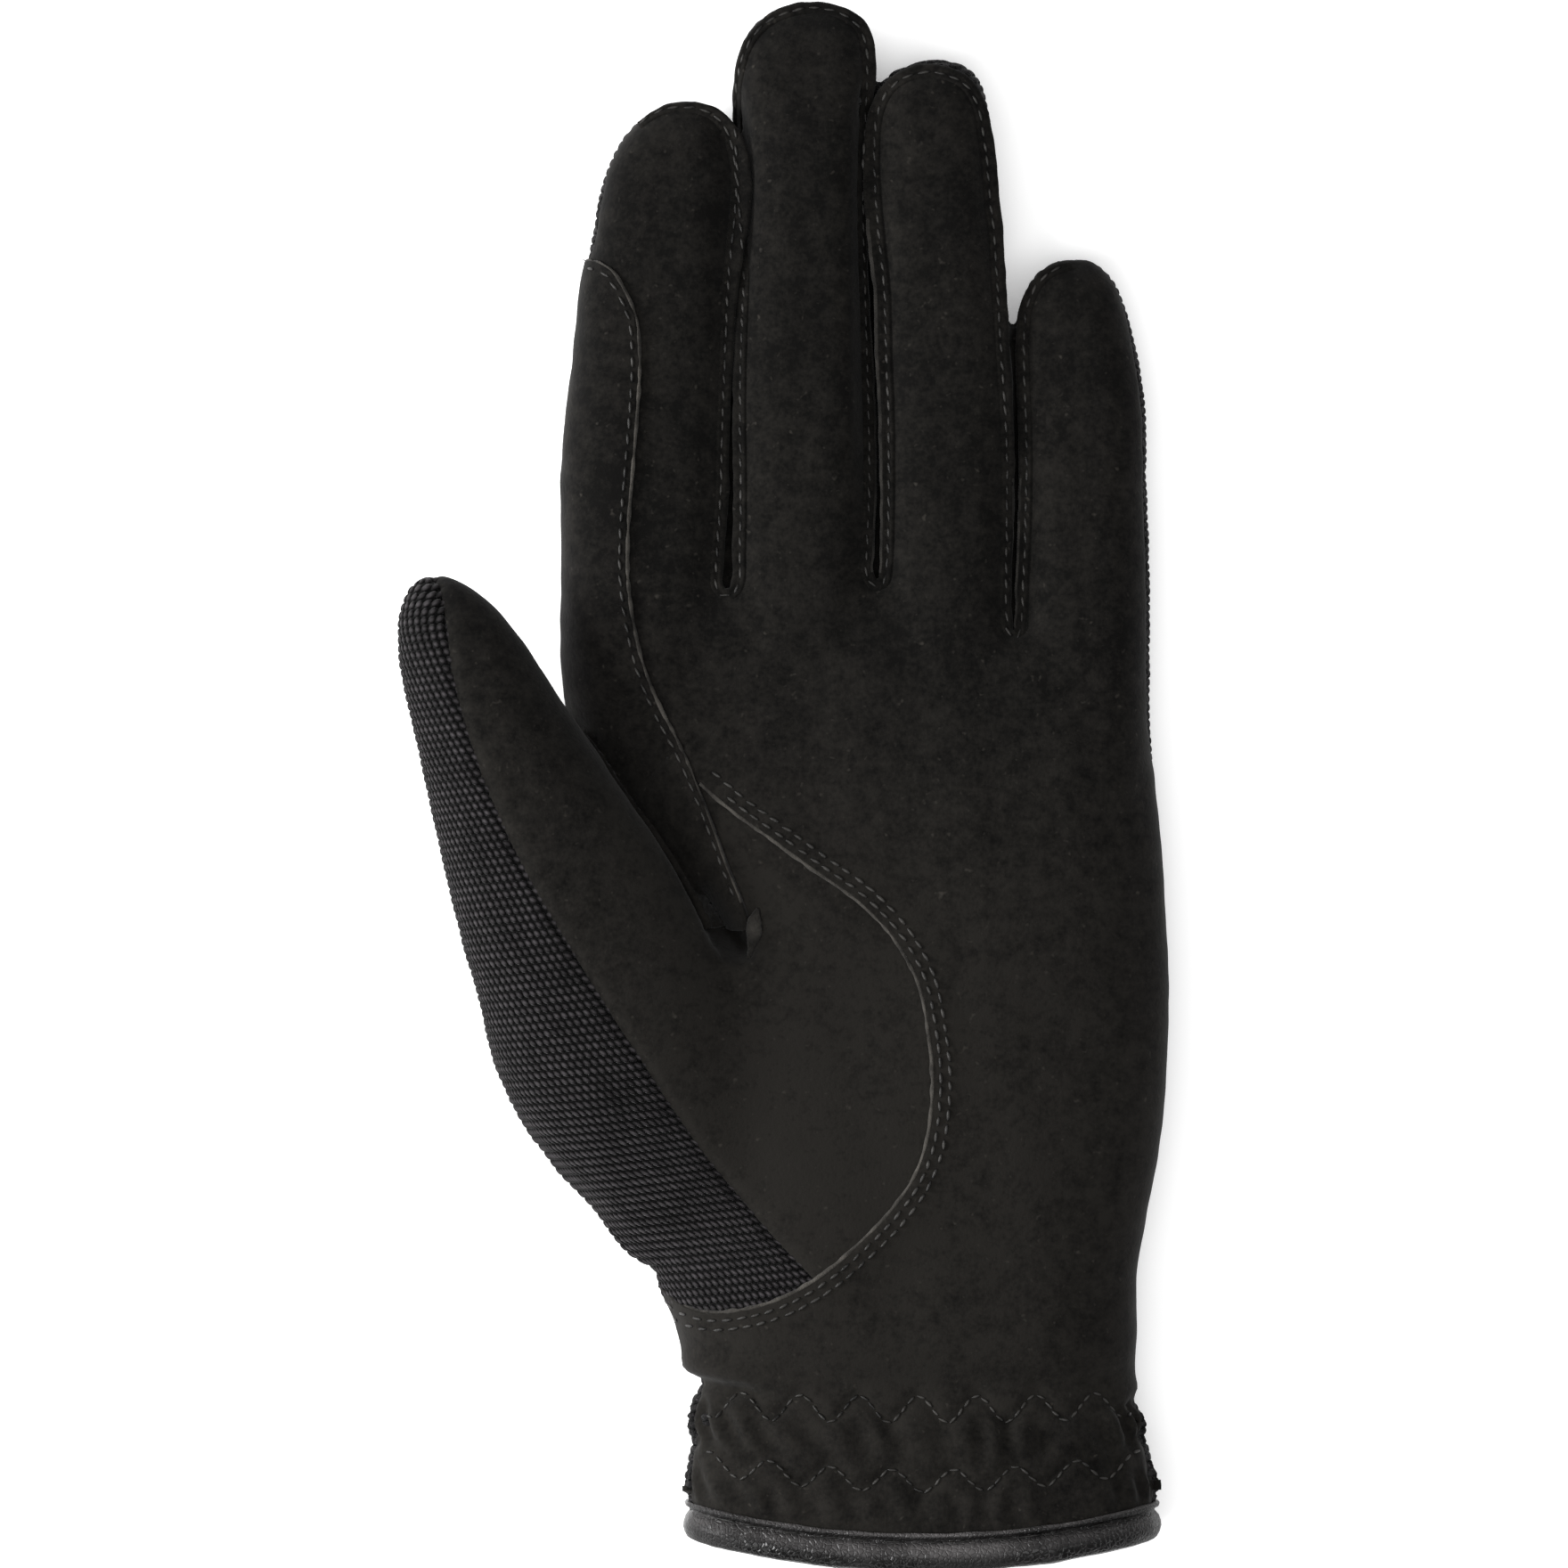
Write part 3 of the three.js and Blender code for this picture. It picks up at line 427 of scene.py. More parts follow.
def back_part(points):
    """How far points lie under the seam between palm and back."""
    x, y, z = points.T
    seam = np.where(x < 14, ease(THUMB_SIDE, y)[:, 0], ease(LITTLE_SIDE, y)[:, 0])
    ring_tip = step_up(y, 207, 216) * (x > 11) * (x < 33)
    seam = seam + ring_tip * (12.6 - seam)
    middle_tip = step_up(y, 221, 226) * (x > -8) * (x < 14)
    seam = seam + middle_tip * (11.4 - seam)
    return seam - z


def strip_part(name, points):
    """How far points lie inside the strip between two fingers, drawn from the side."""
    crotch, shoulder, point, left, right = FOURCHETTES[name]
    outline = [(crotch - 3, FOURCHETTE_LOW), (shoulder, FOURCHETTE_LOW), (point, 8.8),
               (shoulder, FOURCHETTE_HIGH), (crotch - 3, FOURCHETTE_HIGH)]
    deep = inside(outline, points[:, 1:])
    return np.minimum(deep, np.minimum(points[:, 0] - left, right - points[:, 0]))


def hem_height(points):
    """Places along the glove with the curve of the hem taken out."""
    share = (points[:, 0] - HEM_MIDDLE) / HEM_HALF
    flat = points[:, 1] - share ** 2 * 4.2
    rise = ease([(row[0], row[5]) for row in HAND], flat)[:, 0]
    return points[:, 1] - share ** 2 * rise


def wrist_row(row, x):
    """Height of a wavy row of stitches at places across the wrist."""
    share = np.clip(np.abs(x - HEM_MIDDLE) / HEM_HALF, 0, 1)
    middle = row["centre"] + (row["ends"] - row["centre"]) * share ** 2
    return middle + row["swing"] * np.cos(2 * math.pi * (x - row["crest"]) / row["wave"])


# ---- The glove's whole surface

FORM = {}
TUCK = 1.5                            # how far the knit runs on under the suede beside it


def tube(bm, rings, closed=False):
    """Adds a tube through rings of points, rolled from a grid. It ends in caps, or closes on itself."""
    size, steps = len(rings[0]), len(rings) - 1
    part = bmesh.new()
    bmesh.ops.create_grid(part, x_segments=size, y_segments=steps, size=1)
    layer = part.verts.layers.int.new("place_in_ring")
    far = part.verts.layers.int.new("far_end")
    for vert in part.verts:
        place, row = round((vert.co.x + 1) / 2 * size) % size, round((vert.co.y + 1) / 2 * steps)
        vert.co = rings[row][place]
        vert[layer] = place
        vert[far] = 2 * row > steps
    bmesh.ops.remove_doubles(part, verts=part.verts, dist=1e-5)
    if not closed:
        for end in (0, 1):
            rim = [edge for edge in part.edges if edge.is_boundary and edge.verts[0][far] == end]
            bmesh.ops.edgeloop_fill(part, edges=rim)
    mesh = bpy.data.meshes.new("tube_in_work")
    part.to_mesh(mesh)
    part.free()
    bm.from_mesh(mesh)
    bpy.data.meshes.remove(mesh)


def section(bottom, top, left, right, corners, count=RING_POINTS):
    """Across and height of the points round a sleeve's section, and how far each is from its middle."""
    turn = np.arange(count) * 2 * math.pi / count
    side, up = np.cos(turn), np.sin(turn)
    power = np.where(up > 0, corners[0], corners[1])
    reach = (np.abs(side) ** power + np.abs(up) ** power) ** (-1 / power)
    side, up = side * reach, up * reach
    waist = bottom + WAIST * (top - bottom)
    return (left + right) / 2 + (right - left) / 2 * side, waist + np.where(up > 0, top - waist, waist - bottom) * up, side


def sleeve(bm, rows, corners, to_point):
    """Adds a closed tube through the sections of a table."""
    count = int((rows[-1][0] - rows[0][0]) / 0.9)
    spots = np.unique(np.concatenate([np.linspace(rows[0][0], rows[-1][0], count), [row[0] for row in rows]]))
    rings = []
    for along, (left, right, bottom, top, *rise) in zip(spots, ease(rows, spots)):
        across, height, side = section(bottom, top, left, right, corners)
        lift = side ** 2 * (rise[0] if rise else 0)
        rings.append([to_point(y, x, z) for x, y, z in zip(across, along + lift, height)])
    tube(bm, rings)


def melted(bm):
    """The sleeves as one skin of even quads."""
    bmesh.ops.recalc_face_normals(bm, faces=bm.faces)
    mesh = bpy.data.meshes.new("glove_sleeves")
    bm.to_mesh(mesh)
    bm.free()
    holder = bpy.data.objects.new("glove_sleeves", mesh)
    bpy.context.scene.collection.objects.link(holder)
    melt = holder.modifiers.new("melt", "REMESH")
    melt.mode = "VOXEL"
    melt.voxel_size = VOXEL
    skin = bpy.data.meshes.new_from_object(holder.evaluated_get(bpy.context.evaluated_depsgraph_get()))
    bpy.data.objects.remove(holder)
    bpy.data.meshes.remove(mesh)
    return skin


def columns(collection, name, width, kind=float):
    """One attribute of a mesh's elements as rows of numbers."""
    values = np.empty(len(collection) * width, kind)
    collection.foreach_get(name, values)
    return values.reshape(-1, width)


def smoothed(points, edges, weight, rounds):
    """Draws each point towards the middle of its neighbours, as far as its weight says."""
    count = len(points)
    a, b = edges.T
    ties = np.bincount(a, minlength=count) + np.bincount(b, minlength=count)
    for _ in range(rounds):
        middle = np.stack([
            np.bincount(a, points[b, k], count) + np.bincount(b, points[a, k], count) for k in range(3)
        ], 1) / ties[:, None]
        points = points + weight[:, None] * (middle - points)
    return points


def skin_normals(mesh, points):
    """Writes points to a mesh and gives the normals they make."""
    mesh.vertices.foreach_set("co", points.ravel())
    mesh.update()
    return columns(mesh.vertex_normals, "vector", 3)


def cut_along(bm, part):
    """Splits the faces where a part begins, so that its edge is a smooth line."""
    points = np.array([vert.co[:] for vert in bm.verts])
    values = part(points)
    values[np.abs(values) < 1e-5] = 1e-5
    values = values.tolist()
    bm.verts.index_update()
    crossed = [e for e in bm.edges if values[e.verts[0].index] * values[e.verts[1].index] < 0]
    made = []
    for edge in crossed:
        first, second = edge.verts
        near, far = values[first.index], values[second.index]
        made.append(bmesh.utils.edge_split(edge, first, near / (near - far))[1])
    if made:
        bmesh.ops.connect_verts(bm, verts=made)
    bm.verts.index_update()


def glove_form():
    """The glove's surface with every seam line cut into it, made once for all the panels."""
    if FORM:
        return FORM
    sizes = bpy.context.scene.glove_sizes
    bm = bmesh.new()
    straight = lambda along, x, z: Vector((x, along, z))
    for rows in (INDEX, MIDDLE, RING, LITTLE):
        sleeve(bm, rows, FINGER_CORNERS, straight)
    sleeve(bm, KNUCKLES, HAND_CORNERS, straight)
    sleeve(bm, HAND, HAND_CORNERS, straight)
    sine, cosine = math.sin(THUMB_SPLAY), math.cos(THUMB_SPLAY)
    sleeve(bm, THUMB, THUMB_CORNERS, lambda along, x, z: Vector((
        THUMB_START[0] - along * sine + x * cosine, THUMB_START[1] + along * cosine + x * sine, z)))
    mesh = melted(bm)
    points = columns(mesh.vertices, "co", 3)
    edges = columns(mesh.edges, "vertices", 2, np.int32)
    points = smoothed(points, edges, np.full(len(points), 0.5), 3)

    # The thumb flows into the palm below its crotch, and the fingers into the knuckles.
    mound = step_up(hole_part(points), -7, 0) * step_up(-points[:, 1], -92, -82) * (points[:, 2] > 14)
    points = smoothed(points, edges, 0.6 * mound, 140)
    roots = step_up(points[:, 1], 108, 124) * step_up(-points[:, 1], -156, -140) * step_up(points[:, 2], 9, 13)
    points = smoothed(points, edges, 0.5 * roots, 30)

    # Soft unevenness, the hollow beside the thumb's crotch, and the gathers over the elastic.
    normals = skin_normals(mesh, points)
    x, y, z = points.T
    calm = step_up(y, 28, 40)
    push = sizes.ripple / MM * (waves(points, 17, 3) * calm + 0.35 * waves(points, 6, 5))
    flat = hem_height(points)
    turn = np.arctan2((z - 12.5) * 2.4, x - HEM_MIDDLE) * 29
    side = np.clip(np.abs(x - HEM_MIDDLE) / HEM_HALF, 0, 1)
    slant = 0.75 * (flat - 18) * np.clip((HEM_MIDDLE + 6 - x) / 30, 0, 1)
    phase = 2 * math.pi * (turn - slant) / 5.6 + 2.4 * waves(points * (1, 0.2, 1), 13, 8)
    height = 1.1 * np.exp(-(((flat - 19.4) / 3.1) ** 2)) + 0.75 * np.exp(-(((flat - 9.2) / 2.4) ** 2))
    push += sizes.pucker / MM * height * (0.42 + 0.58 * side ** 1.3) * np.sin(phase)
    for row in WRIST_ROWS:
        push -= 0.55 * np.exp(-(((flat - wrist_row(row, x)) / 1.2) ** 2))
    left_fold = np.clip((7 - x) / 14, 0, 1) + 0.4 * step_up(x, 42, 50)
    fold = y - 28.3 + 0.21 * np.minimum(x + 12.7, 16)
    push += left_fold * (1.2 * np.exp(-(((fold - 1.6) / 1.8) ** 2)) - 1.1 * np.exp(-(((fold + 0.9) / 0.9) ** 2)))
    # The thumb stands free of the palm above its crotch, over a deep crease.
    beside_thumb = thumb_part(points)
    crease = step_up(y, 88, 94) * (z > 8)
    push -= 1.5 * crease * np.exp(-((beside_thumb / 1.1) ** 2))
    points = points + normals * push[:, None]
    sunk = 5.5 * crease * step_up(-y, -142, -118) * (beside_thumb < 0.6) * np.exp(-((beside_thumb / 5.5) ** 2))
    sunk += 5 * np.exp(-((from_line(points, (-11.2, 98.8), (-6.2, 91.2)) / 1.5) ** 2)) * (z > 12)
    # The middle finger rolls away under the ring finger's seam.
    sunk += 3.4 * step_up(x, 9.2, 12.6) * step_up(-x, -14, -13.4) * step_up(y, 150, 172) * step_up(-y, -220, -212) * (z > 9)
    points[:, 2] -= sunk
    mesh.vertices.foreach_set("co", points.ravel())
    mesh.update()

    bm = bmesh.new()
    bm.from_mesh(mesh)
    bpy.data.meshes.remove(mesh)
    parts = {
        "hem": lambda p: hem_height(p) - HEM_START,
        "hole": lambda p: np.where(p[:, 2] > 11.7, hole_part(p), -9),
        "guard": lambda p: np.minimum(guard_part(p), p[:, 2] - 5.8),
        "knit": knit_part,
        "back": back_part,
        "thumb": thumb_part,
        **{name: lambda p, name=name: strip_part(name, p) for name in FOURCHETTES},
    }
    for part in parts.values():
        cut_along(bm, part)
    bm.faces.ensure_lookup_table()
    centres = np.array([face.calc_center_median()[:] for face in bm.faces])
    low = np.flatnonzero(parts["hem"](centres) < 0)
    bmesh.ops.delete(bm, geom=[bm.faces[i] for i in low.tolist()], context="FACES")
    mesh = bpy.data.meshes.new("glove_form")
    bm.to_mesh(mesh)
    bm.free()
    points = columns(mesh.vertices, "co", 3)
    normals = skin_normals(mesh, points)

    # Turned seams lie in a narrow furrow.
    thumb = thumb_part(points)
    on_thumb = thumb > -0.3
    furrow = np.zeros(len(points))
    for value, where, deep in (
        (knit_part(points), on_thumb | (hole_part(points) > 0), 0.5),
        (back_part(points), ~on_thumb, 0.45),
        (thumb, points[:, 2] < 20, 0.3),
    ):
        furrow = np.maximum(furrow, deep * np.exp(-((value / 0.75) ** 2)) * where)
    points = points - normals * furrow[:, None]
    mesh.vertices.foreach_set("co", points.ravel())
    mesh.update()

    centres = columns(mesh.polygons, "center", 3)
    values = {name: part(centres) for name, part in parts.items()}
    strips = np.zeros(len(centres), int)
    for number, name in enumerate(FOURCHETTES, 1):
        strips[values[name] > 0] = number
    on_thumb = values["thumb"] > 0
    in_hole = values["hole"] > 0
    knit = values["knit"] > 0
    guard = (values["guard"] > 0) & ~on_thumb
    gusset = (values["hole"] > -1.6) & (values["guard"] < 1.6)
    rest = ~on_thumb & (strips == 0)
    FORM["panels"] = {
        "index_guard": guard,
        "thumb_front": (on_thumb | gusset) & ~knit,
        "thumb_back": (on_thumb | gusset) & (values["knit"] > -TUCK),
        "palm_panel": rest & (values["guard"] < 1.6) & ~in_hole & (values["back"] < 0),
        "back_panel": rest & ~guard & ~in_hole & (values["back"] > -TUCK),
        **{name: ~on_thumb & (strips == number) for number, name in enumerate(FOURCHETTES, 1)},
    }
    FORM["mesh"] = mesh
    return FORM


def cut_panel(name):
    """A copy of the part of the surface that one panel covers."""
    form = glove_form()
    bm = bmesh.new()
    bm.from_mesh(form["mesh"])
    bm.faces.ensure_lookup_table()
    away = np.flatnonzero(~form["panels"][name])
    bmesh.ops.delete(bm, geom=[bm.faces[i] for i in away.tolist()], context="FACES")
    scraps = [vert for vert in bm.verts if not vert.link_faces]
    bmesh.ops.delete(bm, geom=scraps, context="VERTS")
    return bm


def tucked(bm, part):
    """Sinks the rim of a knitted panel under the suede that is sewn over it."""
    lifted(bm, -1.35 * step_up(-part(vert_points(bm)), 0.1, 0.9))


def lifted(bm, amounts):
    """Pushes a panel's points out along their normals."""
    bm.normal_update()
    for vert, amount in zip(bm.verts, amounts.tolist()):
        vert.co += vert.normal * amount


def vert_points(bm):
    """The points of a mesh in the making as rows of numbers."""
    return np.array([vert.co[:] for vert in bm.verts])


# ---- Materials


def new_group(name, inputs, outputs):
    """An empty shader node group with its sockets, and its input and output nodes."""
    group = bpy.data.node_groups.new(name, "ShaderNodeTree")
    for label, kind, value in inputs:
        socket = group.interface.new_socket(label, in_out="INPUT", socket_type=kind)
        if value is not None:
            socket.default_value = value
    for label, kind in outputs:
        group.interface.new_socket(label, in_out="OUTPUT", socket_type=kind)
    return group, group.nodes.new("NodeGroupInput"), group.nodes.new("NodeGroupOutput")


def math_node(tree, operation, first, second=None, third=None):
    """The result of one calculation on sockets or numbers."""
    node = tree.nodes.new("ShaderNodeMath")
    node.operation = operation
    for socket, value in zip(node.inputs, (first, second, third)):
        if isinstance(value, bpy.types.NodeSocket):
            tree.links.new(value, socket)
        elif value is not None:
            socket.default_value = value
    return node.outputs[0]


def noise_node(tree, vector, scale, detail=2.0, roughness=0.5):
    """The value of a noise texture; scale in humps a metre."""
    node = tree.nodes.new("ShaderNodeTexNoise")
    tree.links.new(vector, node.inputs["Vector"])
    for label, value in (("Scale", scale), ("Detail", detail), ("Roughness", roughness)):
        if isinstance(value, bpy.types.NodeSocket):
            tree.links.new(value, node.inputs[label])
        else:
            node.inputs[label].default_value = value
    return node.outputs[0]


def mixed(tree, share, first, second, blend="MIX"):
    """Two colours mixed by a share."""
    node = tree.nodes.new("ShaderNodeMix")
    node.data_type = "RGBA"
    node.blend_type = blend
    sockets = [s for s in node.inputs if s.enabled]
    for socket, value in zip(sockets, (share, first, second)):
        if isinstance(value, bpy.types.NodeSocket):
            tree.links.new(value, socket)
        else:
            socket.default_value = value
    return next(s for s in node.outputs if s.enabled)


def nap_group():
    """Brushed nap: soft patches where it lies differently, short fibres, and a few pale specks of lint."""
    group = bpy.data.node_groups.get("suede_nap")
    if group:
        return group
    group, given, result = new_group(
        "suede_nap",
        [("Vector", "NodeSocketVector", None), ("Patch", "NodeSocketFloat", 85.0), ("Fibre", "NodeSocketFloat", 1500.0)],
        [("Mottle", "NodeSocketFloat"), ("Lint", "NodeSocketFloat"), ("Height", "NodeSocketFloat")],
    )
    where, patch = given.outputs["Vector"], given.outputs["Patch"]
    patches = noise_node(group, where, patch, 4.0, 0.6)
    flecks = noise_node(group, where, math_node(group, "MULTIPLY", patch, 5.0), 3.0, 0.65)
    fibres = noise_node(group, where, given.outputs["Fibre"], 2.0, 0.6)
    mottle = math_node(group, "MULTIPLY_ADD", math_node(group, "SUBTRACT", patches, 0.5), 1.25, 0.3)
    mottle = math_node(group, "MULTIPLY_ADD", math_node(group, "SUBTRACT", flecks, 0.5), 1.8, mottle)
    mottle = math_node(group, "MULTIPLY_ADD", math_node(group, "SUBTRACT", fibres, 0.5), 1.2, mottle)
    group.links.new(mottle, result.inputs["Mottle"])
    lint = noise_node(group, where, math_node(group, "MULTIPLY", given.outputs["Fibre"], 0.6), 1.0, 0.5)
    lint = math_node(group, "MULTIPLY", math_node(group, "MAXIMUM", math_node(group, "SUBTRACT", lint, 0.7), 0.0), 6.0)
    group.links.new(lint, result.inputs["Lint"])
    height = math_node(group, "MULTIPLY_ADD", fibres, 0.6, math_node(group, "MULTIPLY", flecks, 0.7))
    group.links.new(height, result.inputs["Height"])
    return group


def weave_group():
    """Rows of rounded knit stitches, each row set off by half a stitch."""
    group = bpy.data.node_groups.get("knit_grain")
    if group:
        return group
    group, given, result = new_group(
        "knit_grain",
        [("Vector", "NodeSocketVector", None), ("Wale", "NodeSocketFloat", 1.0), ("Course", "NodeSocketFloat", 1.0)],
        [("Height", "NodeSocketFloat"), ("Yarn", "NodeSocketFloat")],
    )
    split = group.nodes.new("ShaderNodeSeparateXYZ")
    group.links.new(given.outputs["Vector"], split.inputs[0])
    rows = math_node(group, "DIVIDE", split.outputs["Y"], given.outputs["Course"])
    row = math_node(group, "FLOOR", rows)
    shift = math_node(group, "MULTIPLY", math_node(group, "FLOORED_MODULO", row, 2.0), 0.5)
    places = math_node(group, "ADD", math_node(group, "DIVIDE", split.outputs["X"], given.outputs["Wale"]), shift)
    side = math_node(group, "SUBTRACT", math_node(group, "FRACT", places), 0.5)
    up = math_node(group, "SUBTRACT", math_node(group, "FRACT", rows), 0.5)
    side = math_node(group, "MULTIPLY_ADD", up, -GRAIN_LEAN, side)
    side = math_node(group, "POWER", math_node(group, "MULTIPLY", math_node(group, "ABSOLUTE", side), GRAIN_WIDE), 2.0)
    up = math_node(group, "POWER", math_node(group, "MULTIPLY", math_node(group, "ABSOLUTE", up), GRAIN_HIGH), 2.0)
    left = math_node(group, "SUBTRACT", math_node(group, "SUBTRACT", 1.0, side), up)
    height = math_node(group, "SQRT", math_node(group, "MAXIMUM", left, 0.0))
    group.links.new(height, result.inputs["Height"])
    scattered = math_node(group, "FRACT", math_node(group, "MULTIPLY", math_node(
        group, "SINE", math_node(group, "MULTIPLY_ADD", math_node(group, "FLOOR", places), 12.9, math_node(
            group, "MULTIPLY", row, 78.2))), 43.7))
    group.links.new(scattered, result.inputs["Yarn"])
    return group


GRAIN_WIDE, GRAIN_HIGH = 2.0, 2.1     # how closely a grain fills its place across and along
GRAIN_LEAN = -0.4                     # how far a grain leans across, in its rise


def grain_height(across, along, wale, course):
    """The height of the knit's grains, as the shader draws them."""
    rows = along / course
    row = np.floor(rows)
    places = across / wale + 0.5 * (row % 2)
    up = rows - row - 0.5
    side = places - np.floor(places) - 0.5 - GRAIN_LEAN * up
    return np.sqrt(np.clip(1 - (GRAIN_WIDE * side) ** 2 - (GRAIN_HIGH * up) ** 2, 0, 1))


def new_material(name, colour, roughness, **constants):
    """A material with a Principled shader, its tree, and its object coordinates."""
    material = bpy.data.materials.new(name)
    material.use_nodes = True
    tree = material.node_tree
    shader = tree.nodes["Principled BSDF"]
    shader.inputs["Base Color"].default_value = (*colour, 1)
    shader.inputs["Roughness"].default_value = roughness
    for label, value in constants.items():
        shader.inputs[label.replace("_", " ")].default_value = value
    where = tree.nodes.new("ShaderNodeTexCoord").outputs["Object"]
    return material, tree, shader, where


def use_bump(tree, shader, height, distance, strength=1.0):
    """Feeds a height to the shader's normal."""
    bump = tree.nodes.new("ShaderNodeBump")
    bump.inputs["Distance"].default_value = distance
    bump.inputs["Strength"].default_value = strength
    tree.links.new(height, bump.inputs["Height"])
    tree.links.new(bump.outputs["Normal"], shader.inputs["Normal"])


def shade(colour, factor):
    """A colour made lighter or darker, for a node's socket."""
    return (*(min(1.0, value * factor) for value in colour), 1)


def suede_material():
    """Black brushed leather."""
    found = bpy.data.materials.get("black_suede")
    if found:
        return found
    colour = bpy.context.scene.glove_colours.suede
    material, tree, shader, where = new_material(
        "black_suede", colour, 0.9, Sheen_Weight=0.035, Sheen_Roughness=0.5, Specular_IOR_Level=0.06)
    nap = tree.nodes.new("ShaderNodeGroup")
    nap.node_tree = nap_group()
    tree.links.new(where, nap.inputs["Vector"])
    # A painted pool of light makes the nap paler over the thumb and the heel of the hand.
    apart = tree.nodes.new("ShaderNodeVectorMath")
    apart.operation = "DISTANCE"
    tree.links.new(where, apart.inputs[0])
    apart.inputs[1].default_value = tuple(TO_FRAME @ Vector((2, 60, 24)))
    near = math_node(tree, "SUBTRACT", 1.0, math_node(tree, "DIVIDE", apart.outputs["Value"], 84 * MM))
    painted_light_pool = math_node(tree, "MULTIPLY", math_node(tree, "MAXIMUM", near, 0.0), 0.9)
    share = math_node(tree, "ADD", nap.outputs["Mottle"], painted_light_pool)
    made = mixed(tree, share, shade(colour, 0.3), shade(colour, 1.7))
    made = mixed(tree, nap.outputs["Lint"], made, shade(colour, 4))
    tree.links.new(made, shader.inputs["Base Color"])
    use_bump(tree, shader, nap.outputs["Height"], 0.12 * MM)
    return material


def edge_material(name="cut_edge", strength=1.0):
    """Paler cut edge of the suede, with loose fibres."""
    found = bpy.data.materials.get(name)
    if found:
        return found
    colour = tuple(value * strength for value in bpy.context.scene.glove_colours.edge)
    material, tree, shader, where = new_material(
        name, colour, 0.9, Sheen_Weight=0.05, Sheen_Roughness=0.5, Specular_IOR_Level=0.1)
    fibres = noise_node(tree, where, 1400.0, 3.0, 0.65)
    patches = noise_node(tree, where, 240.0, 2.0, 0.5)
    share = math_node(tree, "MULTIPLY_ADD", math_node(tree, "SUBTRACT", patches, 0.5), 2.4, fibres)
    made = mixed(tree, share, shade(colour, 0.2), shade(colour, 1.7))
    tree.links.new(made, shader.inputs["Base Color"])
    use_bump(tree, shader, fibres, 0.3 * MM)
    return material


def knit_material():
    """Close black knit of rounded stitches."""
    found = bpy.data.materials.get("black_knit")
    if found:
        return found
    scene = bpy.context.scene
    colour = scene.glove_colours.knit
    material, tree, shader, where = new_material(
        "black_knit", colour, 0.6, Sheen_Weight=0.05, Sheen_Roughness=0.3, Specular_IOR_Level=0.04)
    weave = tree.nodes.new("ShaderNodeAttribute")
    weave.attribute_name = "weave"
    grain = tree.nodes.new("ShaderNodeGroup")
    grain.node_tree = weave_group()
    tree.links.new(weave.outputs["Vector"], grain.inputs["Vector"])
    grain.inputs["Wale"].default_value = scene.glove_sizes.wale / MM
    grain.inputs["Course"].default_value = scene.glove_sizes.course / MM
    patches = noise_node(tree, where, 160.0, 2.0, 0.5)
    yarn = math_node(tree, "MULTIPLY_ADD", grain.outputs["Yarn"], 0.5, math_node(tree, "SUBTRACT", patches, 0.25))
    # The yarn's tone varies from grain to grain. On top of that, a painted highlight lights the tops of the grains and
    # painted shade darkens the gaps between them.
    bright = mixed(tree, yarn, shade(colour, 0.8), shade(colour, 3.6))
    painted_grain_light = math_node(tree, "POWER", grain.outputs["Height"], 3.0)
    made = mixed(tree, painted_grain_light, shade(colour, 0.02), bright)
    tree.links.new(made, shader.inputs["Base Color"])
    fibres = noise_node(tree, where, 2600.0, 1.0, 0.5)
    height = math_node(tree, "MULTIPLY_ADD", fibres, 0.18, grain.outputs["Height"])
    use_bump(tree, shader, height, scene.glove_sizes.relief * 1.3)
    return material


def thread_material(name="sewing_thread", strength=1.0):
    """Twisted sewing thread."""
    found = bpy.data.materials.get(name)
    if found:
        return found
    colour = tuple(value * strength for value in bpy.context.scene.glove_colours.thread)
    material, tree, shader, where = new_material(
        name, colour, 0.5, Specular_IOR_Level=0.2)
    twist = noise_node(tree, where, 2200.0, 1.0, 0.5)
    worn = noise_node(tree, where, 170.0, 1.0, 0.5)
    share = math_node(tree, "MULTIPLY_ADD", math_node(tree, "SUBTRACT", worn, 0.5), 2.6, twist)
    made = mixed(tree, share, shade(colour, 0.3), shade(colour, 2.2))
    # Painted shade darkens the thread towards its tips, where it sinks into the needle holes.
    tip = tree.nodes.new("ShaderNodeAttribute")
    tip.attribute_name = "tip"
    sunk = math_node(tree, "POWER", tip.outputs["Fac"], 2.2)
    made = mixed(tree, sunk, made, shade(colour, 0.02))
    tree.links.new(made, shader.inputs["Base Color"])
    use_bump(tree, shader, twist, 0.12 * MM)
    return material


